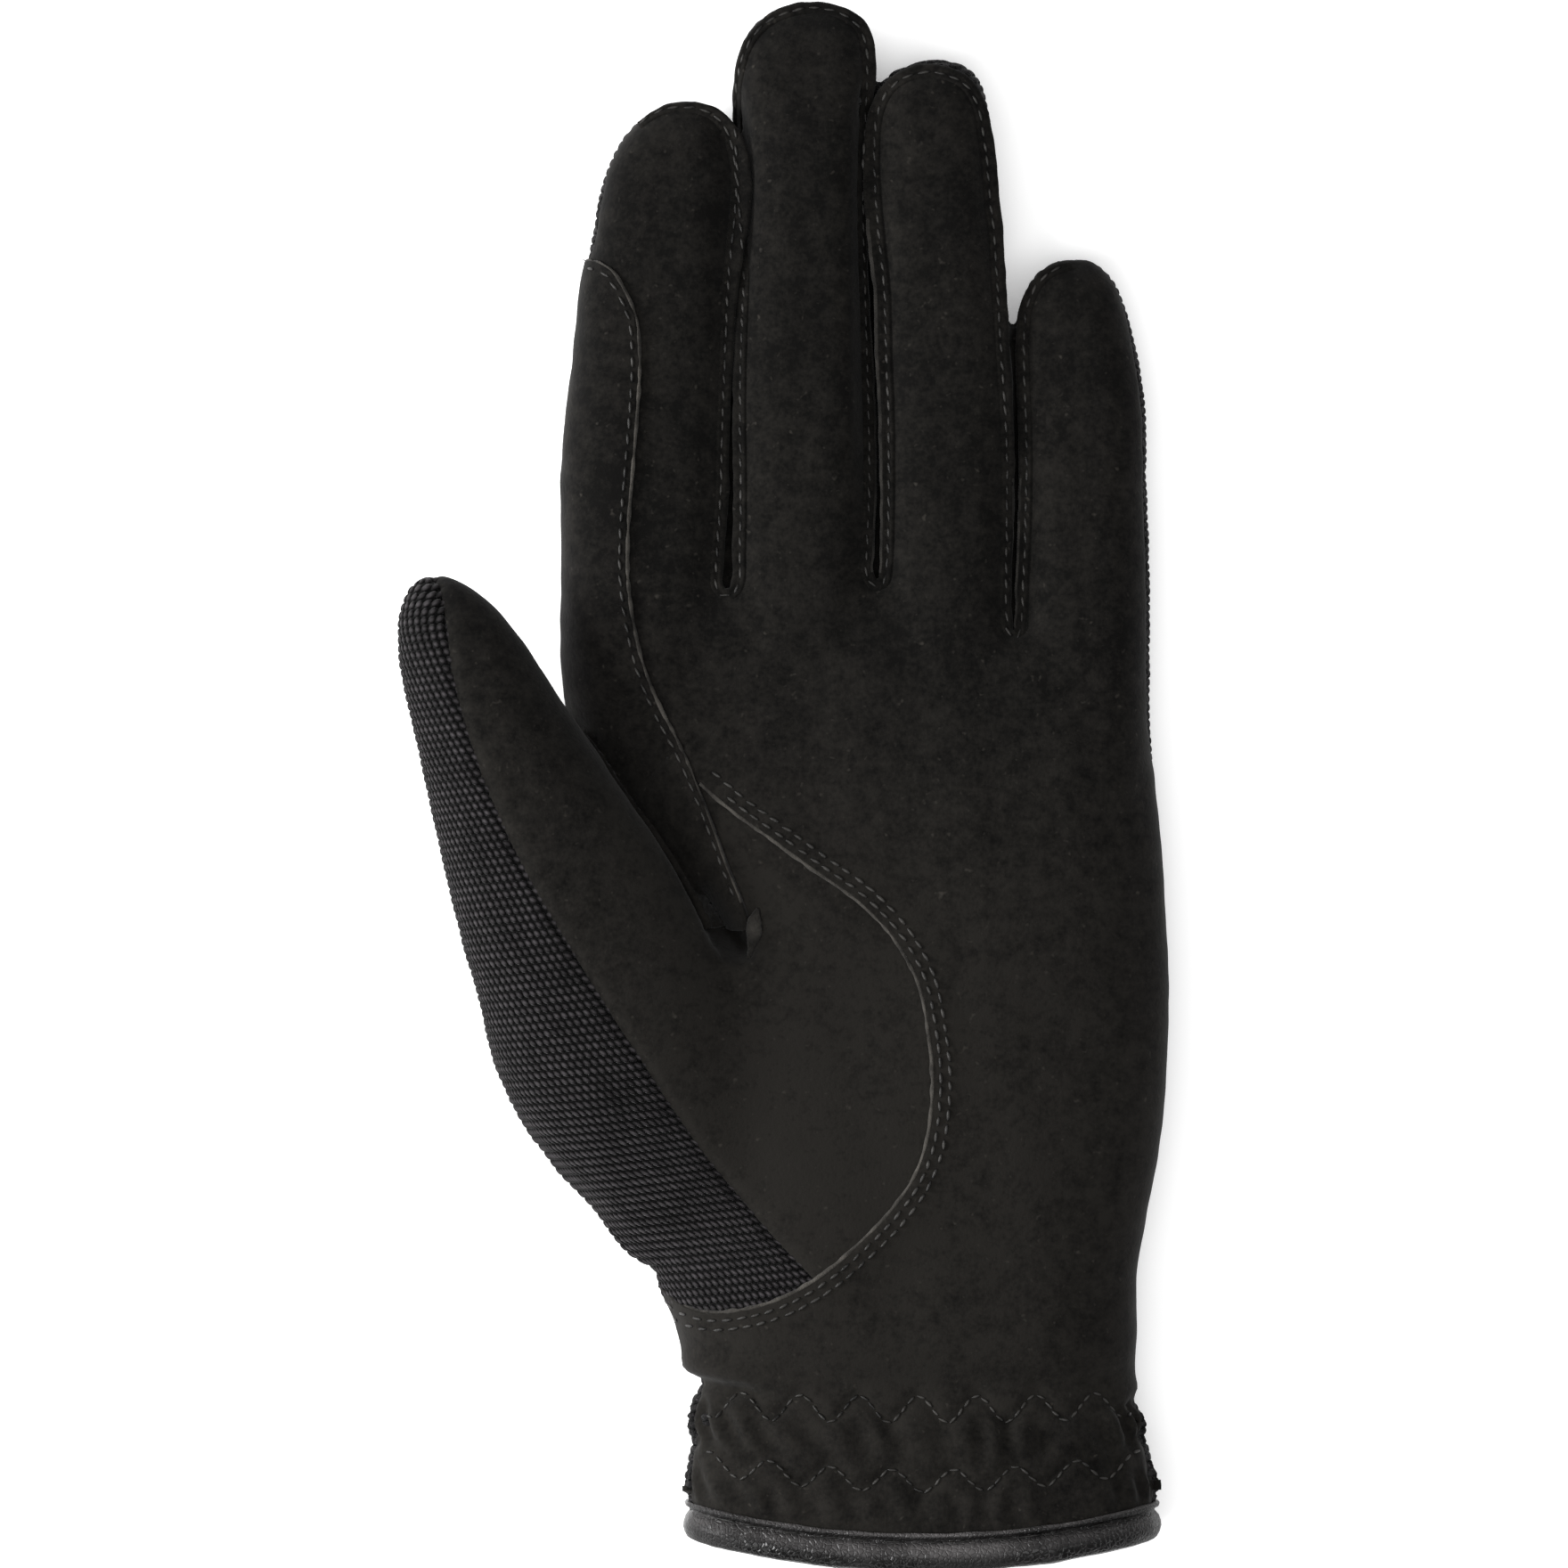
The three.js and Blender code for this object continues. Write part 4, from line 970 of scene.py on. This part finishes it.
def leather_material():
    """Smooth black leather with a fine grain and a soft shine."""
    found = bpy.data.materials.get("binding_skin")
    if found:
        return found
    colour = bpy.context.scene.glove_colours.leather
    material, tree, shader, where = new_material(
        "binding_skin", colour, 0.35, Specular_IOR_Level=0.14, Coat_Weight=0.02, Coat_Roughness=0.15)
    pores = tree.nodes.new("ShaderNodeTexVoronoi")
    pores.feature = "DISTANCE_TO_EDGE"
    pores.inputs["Scale"].default_value = 1400.0
    tree.links.new(where, pores.inputs["Vector"])
    cracks = math_node(tree, "MINIMUM", math_node(tree, "MULTIPLY", pores.outputs["Distance"], 5.0), 1.0)
    creases = noise_node(tree, where, 220.0, 3.0, 0.6)
    scuffs = math_node(tree, "SUBTRACT", noise_node(tree, where, 75.0, 4.0, 0.65), 0.5)
    worn = math_node(tree, "MULTIPLY_ADD", scuffs, 3.0, creases)
    # A painted highlight makes the folded ridges paler than the rest, patchy with the scuffs.
    painted_ridge_highlight = tree.nodes.new("ShaderNodeAttribute")
    painted_ridge_highlight.attribute_name = "painted_ridge_highlight"
    ridge_highlight_share = math_node(tree, "MULTIPLY", painted_ridge_highlight.outputs["Fac"], math_node(tree, "MULTIPLY_ADD", scuffs, 2.0, 0.6))
    made = mixed(tree, worn, shade(colour, 0.5), shade(colour, 2.6))
    made = mixed(tree, ridge_highlight_share, made, shade(colour, 26))
    tree.links.new(made, shader.inputs["Base Color"])
    rough = math_node(tree, "MULTIPLY_ADD", worn, 0.45, 0.16)
    tree.links.new(rough, shader.inputs["Roughness"])
    height = math_node(tree, "MULTIPLY_ADD", creases, 1.5, cracks)
    use_bump(tree, shader, height, 0.1 * MM)
    return material


# ---- Finishing a piece


def finished(name, bm, materials, replaces=(), wall=0.0):
    """Puts a mesh in pattern millimetres in its place in the frame, as one piece of the glove."""
    bm.transform(TO_FRAME)
    mesh = bpy.data.meshes.new(name)
    bm.to_mesh(mesh)
    bm.free()
    mesh.polygons.foreach_set("use_smooth", np.ones(len(mesh.polygons), bool))
    for material in materials:
        mesh.materials.append(material)
    piece = bpy.data.objects.new(name, mesh)
    bpy.context.scene.collection.objects.link(piece)
    if wall:
        thickness = piece.modifiers.new("thickness", "SOLIDIFY")
        thickness.thickness = wall
        thickness.offset = -1
    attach(piece, "root")
    if replaces:
        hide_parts(*replaces)
    return piece


def round_back(points, normals):
    """How far round the back each point lies, unrolled from sides of about 9 mm radius."""
    angle = np.arctan2(normals[:, 0], -normals[:, 2])
    return points[:, 0] + 9 * (angle - np.sin(angle))


def round_thumb(points, form_points):
    """How far round the thumb each point lies over its surface, from its outermost line."""
    def polar(spots):
        along = (spots[:, 1] - THUMB_START[1]) / math.cos(THUMB_SPLAY)
        _, _, bottom, top = ease(THUMB, along).T
        out = THUMB_START[0] - along * math.sin(THUMB_SPLAY) - spots[:, 0]
        up = spots[:, 2] - bottom - WAIST * (top - bottom)
        return np.arctan2(up, out), np.hypot(out, up)

    steps, low = 72, form_points[:, 1].min()
    rows = int(form_points[:, 1].max() - low) + 2
    angle, radius = polar(form_points)
    row = (form_points[:, 1] - low).astype(int)
    column = ((angle / (2 * math.pi) + 0.5) * steps).astype(int) % steps
    total, count = np.zeros((rows, steps)), np.zeros((rows, steps))
    np.add.at(total, (row, column), radius)
    np.add.at(count, (row, column), 1)
    turn = (np.arange(steps) + 0.5) / steps * 2 * math.pi - math.pi
    for i in range(rows):
        found = count[i] > 0
        if found.any():
            total[i] = np.interp(turn, turn[found], total[i][found] / count[i][found], period=2 * math.pi)
        else:
            total[i] = total[i - 1]
    for _ in range(6):
        total = (np.roll(total, 1, 1) + 2 * total + np.roll(total, -1, 1)) / 4
        total[1:-1] = (total[:-2] + 2 * total[1:-1] + total[2:]) / 4
    slope = (np.roll(total, -1, 1) - np.roll(total, 1, 1)) / (4 * math.pi / steps)
    arc = np.cumsum(np.hypot(total, slope) * 2 * math.pi / steps, axis=1)
    arc -= (arc[:, steps // 2 - 1: steps // 2 + 1]).mean(1)[:, None]
    angle, _ = polar(points)
    place = np.clip((angle / (2 * math.pi) + 0.5) * steps - 0.5, 0, steps - 1.001)
    height = np.clip(points[:, 1] - low - 0.5, 0, rows - 1.001)
    i, j = height.astype(int), place.astype(int)
    v, u = height - i, place - j
    return ((arc[i, j] * (1 - u) + arc[i, j + 1] * u) * (1 - v)
            + (arc[i + 1, j] * (1 - u) + arc[i + 1, j + 1] * u) * v)


def finely_knitted(bm, fine, across_of, strength):
    """Divides the fine faces, and raises the knit's grains where the strength says. The place of each
    point across and along the knit stays with it for the material."""
    edges = list({edge for face in fine for edge in face.edges})
    bmesh.ops.subdivide_edges(bm, edges=edges, cuts=2, use_grid_fill=True)
    bm.normal_update()
    sizes = bpy.context.scene.glove_sizes
    points = vert_points(bm)
    normals = np.array([vert.normal[:] for vert in bm.verts])
    across = across_of(points, normals) + 0.35 * waves(points, 40, 21)
    along = points[:, 1] - 0.11 * points[:, 0] + 0.3 * waves(points, 35, 22)
    layer = bm.verts.layers.float_vector.new("weave")
    height = grain_height(across, along, sizes.wale / MM, sizes.course / MM) - 0.5
    push = height * sizes.relief / MM * strength(points, normals)
    for vert, u, v, amount in zip(bm.verts, across.tolist(), along.tolist(), push.tolist()):
        vert[layer] = (u, v, 0)
        vert.co += vert.normal * amount


def walled(bm, wall):
    """A closed wall inwards from an open panel, and how many of its faces are the outer ones."""
    mesh = bpy.data.meshes.new("panel_in_work")
    count = len(bm.faces)
    bm.to_mesh(mesh)
    bm.free()
    holder = bpy.data.objects.new("panel_in_work", mesh)
    bpy.context.scene.collection.objects.link(holder)
    thickness = holder.modifiers.new("thickness", "SOLIDIFY")
    thickness.thickness = wall
    thickness.offset = -1
    made = bpy.data.meshes.new_from_object(holder.evaluated_get(bpy.context.evaluated_depsgraph_get()))
    bpy.data.objects.remove(holder)
    bpy.data.meshes.remove(mesh)
    bm = bmesh.new()
    bm.from_mesh(made)
    bpy.data.meshes.remove(made)
    return bm, count


class Surface:
    """The glove's sewn surface, to lay stitches and edges on."""

    def __init__(self, names):
        trees = []
        for name in names:
            bm = bmesh.new()
            bm.from_mesh(bpy.data.objects[name].data)
            bm.transform(TO_FRAME.inverted())
            trees.append(BVHTree.FromBMesh(bm))
            bm.free()
        self.trees = trees

    def under(self, x, y, start=60.0, way=-1.0):
        """Highest point of the surface under a place seen from above, and its normal."""
        best = None
        for tree in self.trees:
            place, normal, _, _ = tree.ray_cast(Vector((x, y, start)), Vector((0, 0, way)))
            if place is not None and (best is None or (place.z - best[0].z) * way < 0):
                best = (place, normal)
        return best


# ---- Operators


class GLOVE_OT_palm_panel(bpy.types.Operator):
    """Cuts the suede palm with its finger fronts, raised where it laps over the thumb"""

    bl_idname = "glove.palm_panel"
    bl_label = "Palm"

    def execute(self, context):
        sizes = context.scene.glove_sizes
        bm = cut_panel("palm_panel")
        points = vert_points(bm)
        lap = sizes.lap / MM * np.exp(-((hole_part(points) / 5) ** 2)) * (points[:, 2] > 10)
        lap *= step_up(points[:, 0], -19, -9)
        under_guard = step_up(guard_part(points), -1, 1)
        lifted(bm, lap * (1 - under_guard))
        finished("palm_suede", bm, [suede_material()], ["palm_panel"], sizes.suede)
        return {"FINISHED"}


class GLOVE_OT_index_guard(bpy.types.Operator):
    """Cuts the suede guard that laps the outer side of the index finger"""

    bl_idname = "glove.index_guard"
    bl_label = "Index guard"

    def execute(self, context):
        sizes = context.scene.glove_sizes
        bm = cut_panel("index_guard")
        points = vert_points(bm)
        lap = sizes.lap / MM * (1 + 0.8 * step_up(-points[:, 1], -124, -112))
        lifted(bm, lap * step_up(points[:, 2], 5.8, 9))
        finished("index_guard_suede", bm, [suede_material()], ["index_guard"], sizes.suede)
        return {"FINISHED"}


class GLOVE_OT_fourchettes(bpy.types.Operator):
    """Cuts the suede strips between the fingers"""

    bl_idname = "glove.fourchettes"
    bl_label = "Fourchettes"

    def execute(self, context):
        sizes = context.scene.glove_sizes
        for name in FOURCHETTES:
            finished(name + "_suede", cut_panel(name), [suede_material()], [name], sizes.suede)
        return {"FINISHED"}


class GLOVE_OT_thumb(bpy.types.Operator):
    """Cuts the suede front of the thumb with its gusset, and the knitted back of the thumb"""

    bl_idname = "glove.thumb"
    bl_label = "Thumb"

    def execute(self, context):
        sizes = context.scene.glove_sizes
        finished("thumb_suede", cut_panel("thumb_front"), [suede_material()], ["thumb_front"], sizes.suede)
        bm = cut_panel("thumb_back")
        tucked(bm, knit_part)
        bm, outer = walled(bm, sizes.knit / MM)
        bm.faces.ensure_lookup_table()
        bm.normal_update()
        fine = [face for face in bm.faces[:outer] if face.normal.z > -0.35]
        form_points = vert_points(bm)
        finely_knitted(bm, fine, lambda points, normals: round_thumb(points, form_points),
                       lambda points, normals: np.clip((normals[:, 2] + 0.3) / 0.2, 0, 1))
        finished("thumb_knit", bm, [knit_material()], ["thumb_back"])
        return {"FINISHED"}


class GLOVE_OT_back_panel(bpy.types.Operator):
    """Cuts the knitted back, with real grains where it shows at the glove's outline"""

    bl_idname = "glove.back_panel"
    bl_label = "Back"

    def execute(self, context):
        sizes = context.scene.glove_sizes
        bm = cut_panel("back_panel")
        tucked(bm, back_part)
        bm, outer = walled(bm, sizes.knit / MM)
        bm.faces.ensure_lookup_table()
        bm.normal_update()
        fine = []
        for face in bm.faces[:outer]:
            x, y, z = face.calc_center_median()
            at_index = x < -20 and 186 < y < 213
            at_ring = 12 < x < 33 and y > 212
            at_little = x > 48 and 112 < y < 190
            at_wrist = y < 32
            if face.normal.z > -0.55 and z > 2 and (at_index or at_ring or at_little or at_wrist):
                fine.append(face)
        shown = lambda points: ((points[:, 1] < 31) | (points[:, 0] > 48.5) | (points[:, 1] > 187)) & (points[:, 2] > 3)
        finely_knitted(bm, fine, round_back,
                       lambda points, normals: shown(points) * np.clip((normals[:, 2] + 0.5) / 0.3, 0, 1))
        finished("back_knit", bm, [knit_material()], ["back_panel"])
        return {"FINISHED"}


class GLOVE_OT_hem_binding(bpy.types.Operator):
    """Folds the smooth leather binding round the hem"""

    bl_idname = "glove.hem_binding"
    bl_label = "Hem binding"

    def execute(self, context):
        # Outline of the folded leather: how far out from the panels, and how far up from the hem.
        profile = [
            (-0.5, 5.2), (0.1, 5.7), (0.55, 5.72), (0.85, 5.4), (0.78, 5.05), (0.3, 4.75), (0.05, 4.45), (0.35, 4.15),
            (0.85, 3.6), (1.2, 2.75), (1.28, 2), (1.1, 1.2), (0.7, 0.45), (0, 0.1), (-0.9, 0.2), (-1.6, 0.8),
            (-1.9, 2.4), (-1.9, 4.2), (-1.3, 5.1),
        ]
        bm = bmesh.new()
        rings = []
        for out, up in profile:
            left, right, bottom, top, _ = ease(HAND, [up])[0]
            across, height, side = section(bottom - out, top + out, left - out, right + out, HAND_CORNERS, 220)
            rings.append([(x, up + s * s * 4.2, z) for x, z, s in zip(across, height, side)])
        tube(bm, rings + rings[:1], closed=True)
        bmesh.ops.recalc_face_normals(bm, faces=bm.faces)
        bm.normal_update()
        points = vert_points(bm)
        # Weight of the painted highlight along the binding's belly and its rolled top, weaker towards its ends, for the
        # material.
        share = (points[:, 0] - HEM_MIDDLE) / HEM_HALF
        up = points[:, 1] - share ** 2 * 4.2
        painted_ridge_highlight = 1.1 * np.exp(-(((up - 3.3) / 0.95) ** 2)) + 1.5 * np.exp(-(((up - 5.6) / 0.3) ** 2))
        painted_ridge_highlight *= 1 - 0.65 * np.clip(np.abs(share), 0, 1) ** 2
        layer = bm.verts.layers.float.new("painted_ridge_highlight")
        for vert, value in zip(bm.verts, painted_ridge_highlight.tolist()):
            vert[layer] = value
        lifted(bm, 0.07 * waves(points, 7, 31) + 0.05 * waves(points, 2.5, 32))
        finished("binding_leather", bm, [leather_material()], ["hem_binding"])
        return {"FINISHED"}


def left_of(line):
    """Directions to the left of the way along a line seen from above."""
    way = np.gradient(line[:, :2], axis=0)
    way /= np.linalg.norm(way, axis=1)[:, None]
    return np.stack([-way[:, 1], way[:, 0]], 1)


def levels(surface, line, rounds):
    """Evened heights of the surface under a line seen from above."""
    heights = []
    for x, y in line[:, :2].tolist():
        found = surface.under(x, y)
        heights.append(found[0].z if found else heights[-1] if heights else 10.0)
    heights = np.array(heights)
    for _ in range(rounds):
        heights[1:-1] = (heights[:-2] + 2 * heights[1:-1] + heights[2:]) / 4
    return heights


class GLOVE_OT_outseams(bpy.types.Operator):
    """Makes the seam allowances that stand out along the fingers, and the tab in the thumb's crotch"""

    bl_idname = "glove.outseams"
    bl_label = "Outseams"

    def execute(self, context):
        surface = Surface(["palm_suede", "back_knit"])
        line = flowing(OUTSEAM, 0.55)
        out = left_of(line)
        inner = line[:, :2] - out * 0.95
        level = levels(surface, inner, 12)
        fray = waves(np.c_[line[:, :2], level], 2.2, 41) * 0.07 + waves(np.c_[line[:, :2], level], 9, 42) * 0.08
        # Two layers of leather: share of the allowance from the stitches out, then height.
        shape = [
            (-0.95, -0.25, 0), (-0.6, 0.06, 0), (-0.22, -0.06, 0), (0, -0.26, 0), (0.22, -0.07, 0.2), (0, -0.04, 0.7),
            (-0.12, -0.12, 1), (0, -0.3, 1), (0, -0.62, 1), (-0.12, -0.78, 1), (0, -0.95, 1), (0, -1.3, 1),
            (-0.2, -1.5, 1), (0, -1.6, 0.5), (-0.8, -1.5, 0),
        ]
        sections = []
        for place, way, z, wide in zip(line, out, level, fray):
            width, lift, rise = place[2] + wide, place[3], place[4]
            section = []
            for fixed, height, share in shape:
                reach = fixed + share * width
                x, y = place[:2] + way * reach
                section.append((x, y, z + lift * step_up(reach, -0.95, 0) + height + rise * max(0, share)))
            sections.append(section)
        bm = bmesh.new()
        tube(bm, sections)
        bmesh.ops.recalc_face_normals(bm, faces=bm.faces)
        place = bm.verts.layers.int["place_in_ring"]
        for face in bm.faces:
            x, y, _ = face.calc_center_median()
            cut = all(5 <= vert[place] <= 7 for vert in face.verts)
            bare = (12 < x < 16 and 146 < y < 198) or (33.5 < x < 36 and 138 < y < 160)
            face.material_index = int(cut and bare)
        finished("outseam_allowance", bm, [suede_material(), edge_material("seam_cut_edge", 0.35)])

        bm = bmesh.new()
        tab = flowing(CROTCH_TAB, 0.3)
        side = left_of(tab)
        level = levels(Surface(["thumb_suede", "palm_suede"]), tab, 8)
        rough = waves(np.c_[tab[:, :2], level], 1.3, 43)
        sections = []
        for place, way, z, uneven in zip(tab, side, level, rough):
            half, top = place[2] * (1 + 0.15 * uneven), z + place[3] + 0.12 * uneven
            shape = [(-0.7, -3), (-1, -0.7), (-0.85, -0.1), (-0.2, 0.18), (0.3, 0.05), (0.8, 0.12), (1, -0.4), (0.7, -3)]
            sections.append([(*(place[:2] + way * half * across), top + up) for across, up in shape])
        tube(bm, sections)
        bmesh.ops.recalc_face_normals(bm, faces=bm.faces)
        finished("thumb_crotch_tab", bm, [edge_material("tab_cut_edge", 0.5)])
        return {"FINISHED"}


class GLOVE_OT_raw_edges(bpy.types.Operator):
    """Lays the pale cut edges of the lapped panels, round the thumb hole and along the index guard"""

    bl_idname = "glove.raw_edges"
    bl_label = "Raw edges"

    def execute(self, context):
        surface = Surface(["palm_suede", "index_guard_suede", "thumb_suede", "thumb_knit"])
        bm = bmesh.new()
        hole = flowing(HOLE_EDGE[1:-1], 0.5)
        guard = flowing(GUARD_EDGE[1:-1], 0.5)
        for line, side in ((hole, 1), (guard, -1)):
            out = left_of(line) * side
            if line is guard:
                # Its lower end stands out over the crotch.
                line = line[:, :2] + out * 0.45 * step_up(-line[:, 1:2], -124, -112)
            level = levels(surface, line[:, :2] + out * 0.45, 5)
            rough = waves(np.c_[line[:, :2], level], 1.6, 51)
            sections = []
            for place, way, z, fray in zip(line[:, :2], out, level, rough):
                wide, top = 0.32 + 0.1 * fray, z + 0.06 + 0.06 * fray
                sections.append([
                    (*(place + way * 0.2), top - 0.5), (*(place + way * 0.2), top - 0.06),
                    (*(place + way * 0.02), top + 0.03), (*(place - way * wide * 0.6), top - 0.05),
                    (*(place - way * wide), top - 0.3), (*(place - way * wide), top - 0.8),
                ])
            tube(bm, sections)
        bmesh.ops.recalc_face_normals(bm, faces=bm.faces)
        finished("raw_edges", bm, [edge_material()])
        return {"FINISHED"}


def stitch_form():
    """One rounded stitch along x, a unit long each way, that knows how near its tips each point is."""
    bm = bmesh.new()
    bmesh.ops.create_uvsphere(bm, u_segments=7, v_segments=8, radius=1, matrix=Matrix.Rotation(math.pi / 2, 4, "Y"))
    layer = bm.verts.layers.float.new("tip")
    for vert in bm.verts:
        vert[layer] = abs(vert.co.x)
    mesh = bpy.data.meshes.new("stitch_form")
    bm.to_mesh(mesh)
    bm.free()
    return mesh, columns(mesh.vertices, "co", 3)


def lay_stitch(bm, surface, form, place, way, length, thickness, start=60.0, fall=-1.0):
    """One stitch on the surface, its ends drawn into the leather."""
    reach = length * 0.3
    ends = [surface.under(*(place + way * s), start, fall) for s in (-reach, reach)]
    middle = surface.under(*place, start, fall)
    if not middle or not all(ends):
        return
    along = (ends[1][0] - ends[0][0]).normalized()
    normal = middle[1].normalized()
    normal = (normal - along * normal.dot(along)).normalized()
    axes = np.array((along * length / 2, normal.cross(along) * thickness / 2, normal * thickness / 2))
    mesh, points = form
    centre = np.array(middle[0] + normal * thickness * 0.1)
    mesh.vertices.foreach_set("co", (points @ axes + centre).ravel())
    bm.from_mesh(mesh)


def lay_row(bm, surface, form, line, pitch, length, thickness, draw, start=60.0, fall=-1.0):
    """A row of stitches along a line of even points."""
    gaps = np.linalg.norm(np.diff(line[:, :2], axis=0), axis=1)
    place = np.concatenate([[0], np.cumsum(gaps)])
    spots = np.arange(pitch * 0.5, place[-1], pitch)
    spots = spots + draw.uniform(-0.08, 0.08, len(spots)) * pitch
    x, y = np.interp(spots, place, line[:, 0]), np.interp(spots, place, line[:, 1])
    near = np.stack([np.interp(spots - 0.3, place, line[:, 0]), np.interp(spots - 0.3, place, line[:, 1])], 1)
    far = np.stack([np.interp(spots + 0.3, place, line[:, 0]), np.interp(spots + 0.3, place, line[:, 1])], 1)
    for i in range(len(spots)):
        way = far[i] - near[i]
        way /= np.linalg.norm(way)
        slope = draw.uniform(-0.02, 0.2)
        way = np.array((way[0] - slope * way[1], way[1] + slope * way[0]))
        long = length * draw.uniform(0.88, 1.1)
        lay_stitch(bm, surface, form, np.array((x[i], y[i])), way, long, thickness * draw.uniform(0.9, 1.1), start, fall)


def beside(line, distance):
    """A line drawn beside another, to its left."""
    return line[:, :2] + left_of(line) * distance


class GLOVE_OT_stitching(bpy.types.Operator):
    """Sews the seams, the wavy rows over the elastic and the binding"""

    bl_idname = "glove.stitching"
    bl_label = "Stitching"

    def execute(self, context):
        sizes = context.scene.glove_sizes
        draw = np.random.RandomState(7)
        pitch, length, thickness = sizes.pitch / MM, sizes.stitch / MM, sizes.thread / MM
        leather = Surface(["palm_suede", "index_guard_suede", "thumb_suede", "outseam_allowance", "thumb_knit"])
        form = stitch_form()
        bm = bmesh.new()
        hole = flowing(HOLE_EDGE[1:-1], 0.5)
        lay_row(bm, leather, form, flowing(OUTSEAM, 0.4), pitch, length, thickness, draw)
        lay_row(bm, leather, form, beside(hole, 1.15)[8:], 2.15, length * 0.95, thickness * 1.2, draw)
        lay_row(bm, leather, form, beside(hole, 2.5), 2.15, length * 0.95, thickness * 1.2, draw)
        lay_row(bm, leather, form, beside(flowing(GUARD_EDGE[1:-1], 0.5), -1.05), pitch, length, thickness, draw)
        finished("seam_stitches", bm, [thread_material()])

        bm = bmesh.new()
        wrist = Surface(["palm_suede", "back_knit"])
        spots = np.arange(-11.5, 52, 0.3)
        for row in WRIST_ROWS:
            line = np.stack([spots, wrist_row(row, spots)], 1)
            for start, fall in ((60.0, -1.0), (-20.0, 1.0)):
                lay_row(bm, wrist, form, line, 1.6, 1.45, thickness, draw, start, fall)
        finished("wrist_stitches", bm, [thread_material()])

        bm = bmesh.new()
        binding = Surface(["binding_leather"])
        spots = np.arange(-11, 51.8, 0.5)
        line = np.stack([spots, 4.4 + ((spots - HEM_MIDDLE) / HEM_HALF) ** 2 * 4.2], 1)
        for start, fall in ((60.0, -1.0), (-20.0, 1.0)):
            lay_row(bm, binding, form, line, 5.0, 3.4, thickness, draw, start, fall)
        finished("binding_stitches", bm, [thread_material("binding_thread", 0.35)])
        bpy.data.meshes.remove(form[0])
        return {"FINISHED"}


class GLOVE_OT_stage(bpy.types.Operator):
    """Lays the pale floor and sets the soft light and the camera over the palm"""

    bl_idname = "glove.stage"
    bl_label = "Stage"

    def execute(self, context):
        scene = context.scene
        bm = bmesh.new()
        bmesh.ops.create_grid(bm, x_segments=1, y_segments=1, size=3)
        bm.transform(Matrix.Translation((0, 0, LOW.z - 0.0005)))
        mesh = bpy.data.meshes.new("floor")
        bm.to_mesh(mesh)
        bm.free()
        floor = bpy.data.objects.new("floor", mesh)
        scene.collection.objects.link(floor)
        # The floor's faint glow is painted light: it fills the glove's shadow on the floor and lights the glove's lower
        # sides a little.
        material, *_ = new_material("glowing_pale_floor", scene.glove_colours.floor, 0.9, Specular_IOR_Level=0.2, Emission_Strength=0.18)
        mesh.materials.append(material)

        world = bpy.data.worlds.new("soft_sky")
        world.use_nodes = True
        sky = world.node_tree.nodes["Background"]
        sky.inputs["Color"].default_value = (1, 1, 1, 1)
        sky.inputs["Strength"].default_value = 0.5
        scene.world = world
        scene.view_settings.view_transform = "Standard"
        for name, place, size, power in (
            ("lower_left_softbox", (-0.62, -0.3, 0.8), 0.6, 6.5),
            ("left_softbox", (-1.0, 0.1, 0.35), 0.4, 20.0),
            ("top_softbox", (0.1, -0.1, 1.7), 1.2, 18.0),
        ):
            lamp = bpy.data.lights.new(name, "AREA")
            lamp.size = size
            lamp.energy = power
            light = bpy.data.objects.new(name, lamp)
            light.location = place
            light.rotation_euler = (-Vector(place)).to_track_quat("-Z", "Y").to_euler()
            scene.collection.objects.link(light)

        # The photograph is 1760 pixels wide and shows 0.1309 mm in each, at half the glove's depth.
        lens = bpy.data.cameras.new("camera")
        distance = 2.2
        half_depth = LOW.z + 10 * MM
        lens.sensor_width = 36
        lens.lens = 36 * distance / (1760 * 0.1309 * MM)
        lens.clip_end = 20
        camera = bpy.data.objects.new("camera", lens)
        camera.location = (ORIGIN.x, ORIGIN.y + PATTERN_LENGTH / 2 * MM, half_depth + distance)
        scene.collection.objects.link(camera)
        scene.camera = camera
        return {"FINISHED"}


class GLOVE_PT_pieces(bpy.types.Panel):
    """Lists the glove's pieces, sizes and colours"""

    bl_idname = "GLOVE_PT_pieces"
    bl_label = "Riding glove"
    bl_space_type = "VIEW_3D"
    bl_region_type = "UI"
    bl_category = "Glove"

    def draw(self, context):
        for operator in OPERATORS:
            self.layout.operator(operator.bl_idname)
        for group in (context.scene.glove_sizes, context.scene.glove_colours):
            box = self.layout.box()
            for name in group.__annotations__:
                box.prop(group, name)


OPERATORS = (
    GLOVE_OT_palm_panel,
    GLOVE_OT_index_guard,
    GLOVE_OT_fourchettes,
    GLOVE_OT_thumb,
    GLOVE_OT_back_panel,
    GLOVE_OT_hem_binding,
    GLOVE_OT_outseams,
    GLOVE_OT_raw_edges,
    GLOVE_OT_stitching,
    GLOVE_OT_stage,
)
CLASSES = (GloveSizes, GloveColours, *OPERATORS, GLOVE_PT_pieces)


def register():
    """Registers the add-on's classes and its settings."""
    for item in CLASSES:
        bpy.utils.register_class(item)
    bpy.types.Scene.glove_sizes = PointerProperty(type=GloveSizes)
    bpy.types.Scene.glove_colours = PointerProperty(type=GloveColours)


def unregister():
    """Removes the add-on's settings and classes."""
    del bpy.types.Scene.glove_colours
    del bpy.types.Scene.glove_sizes
    for item in reversed(CLASSES):
        bpy.utils.unregister_class(item)


def main():
    """Makes every piece of the glove and the stage."""
    register()
    for operator in OPERATORS:
        group, name = operator.bl_idname.split(".")
        getattr(getattr(bpy.ops, group), name)()
    bpy.data.meshes.remove(FORM["mesh"])
    FORM.clear()


if __name__ == "__main__":
    main()
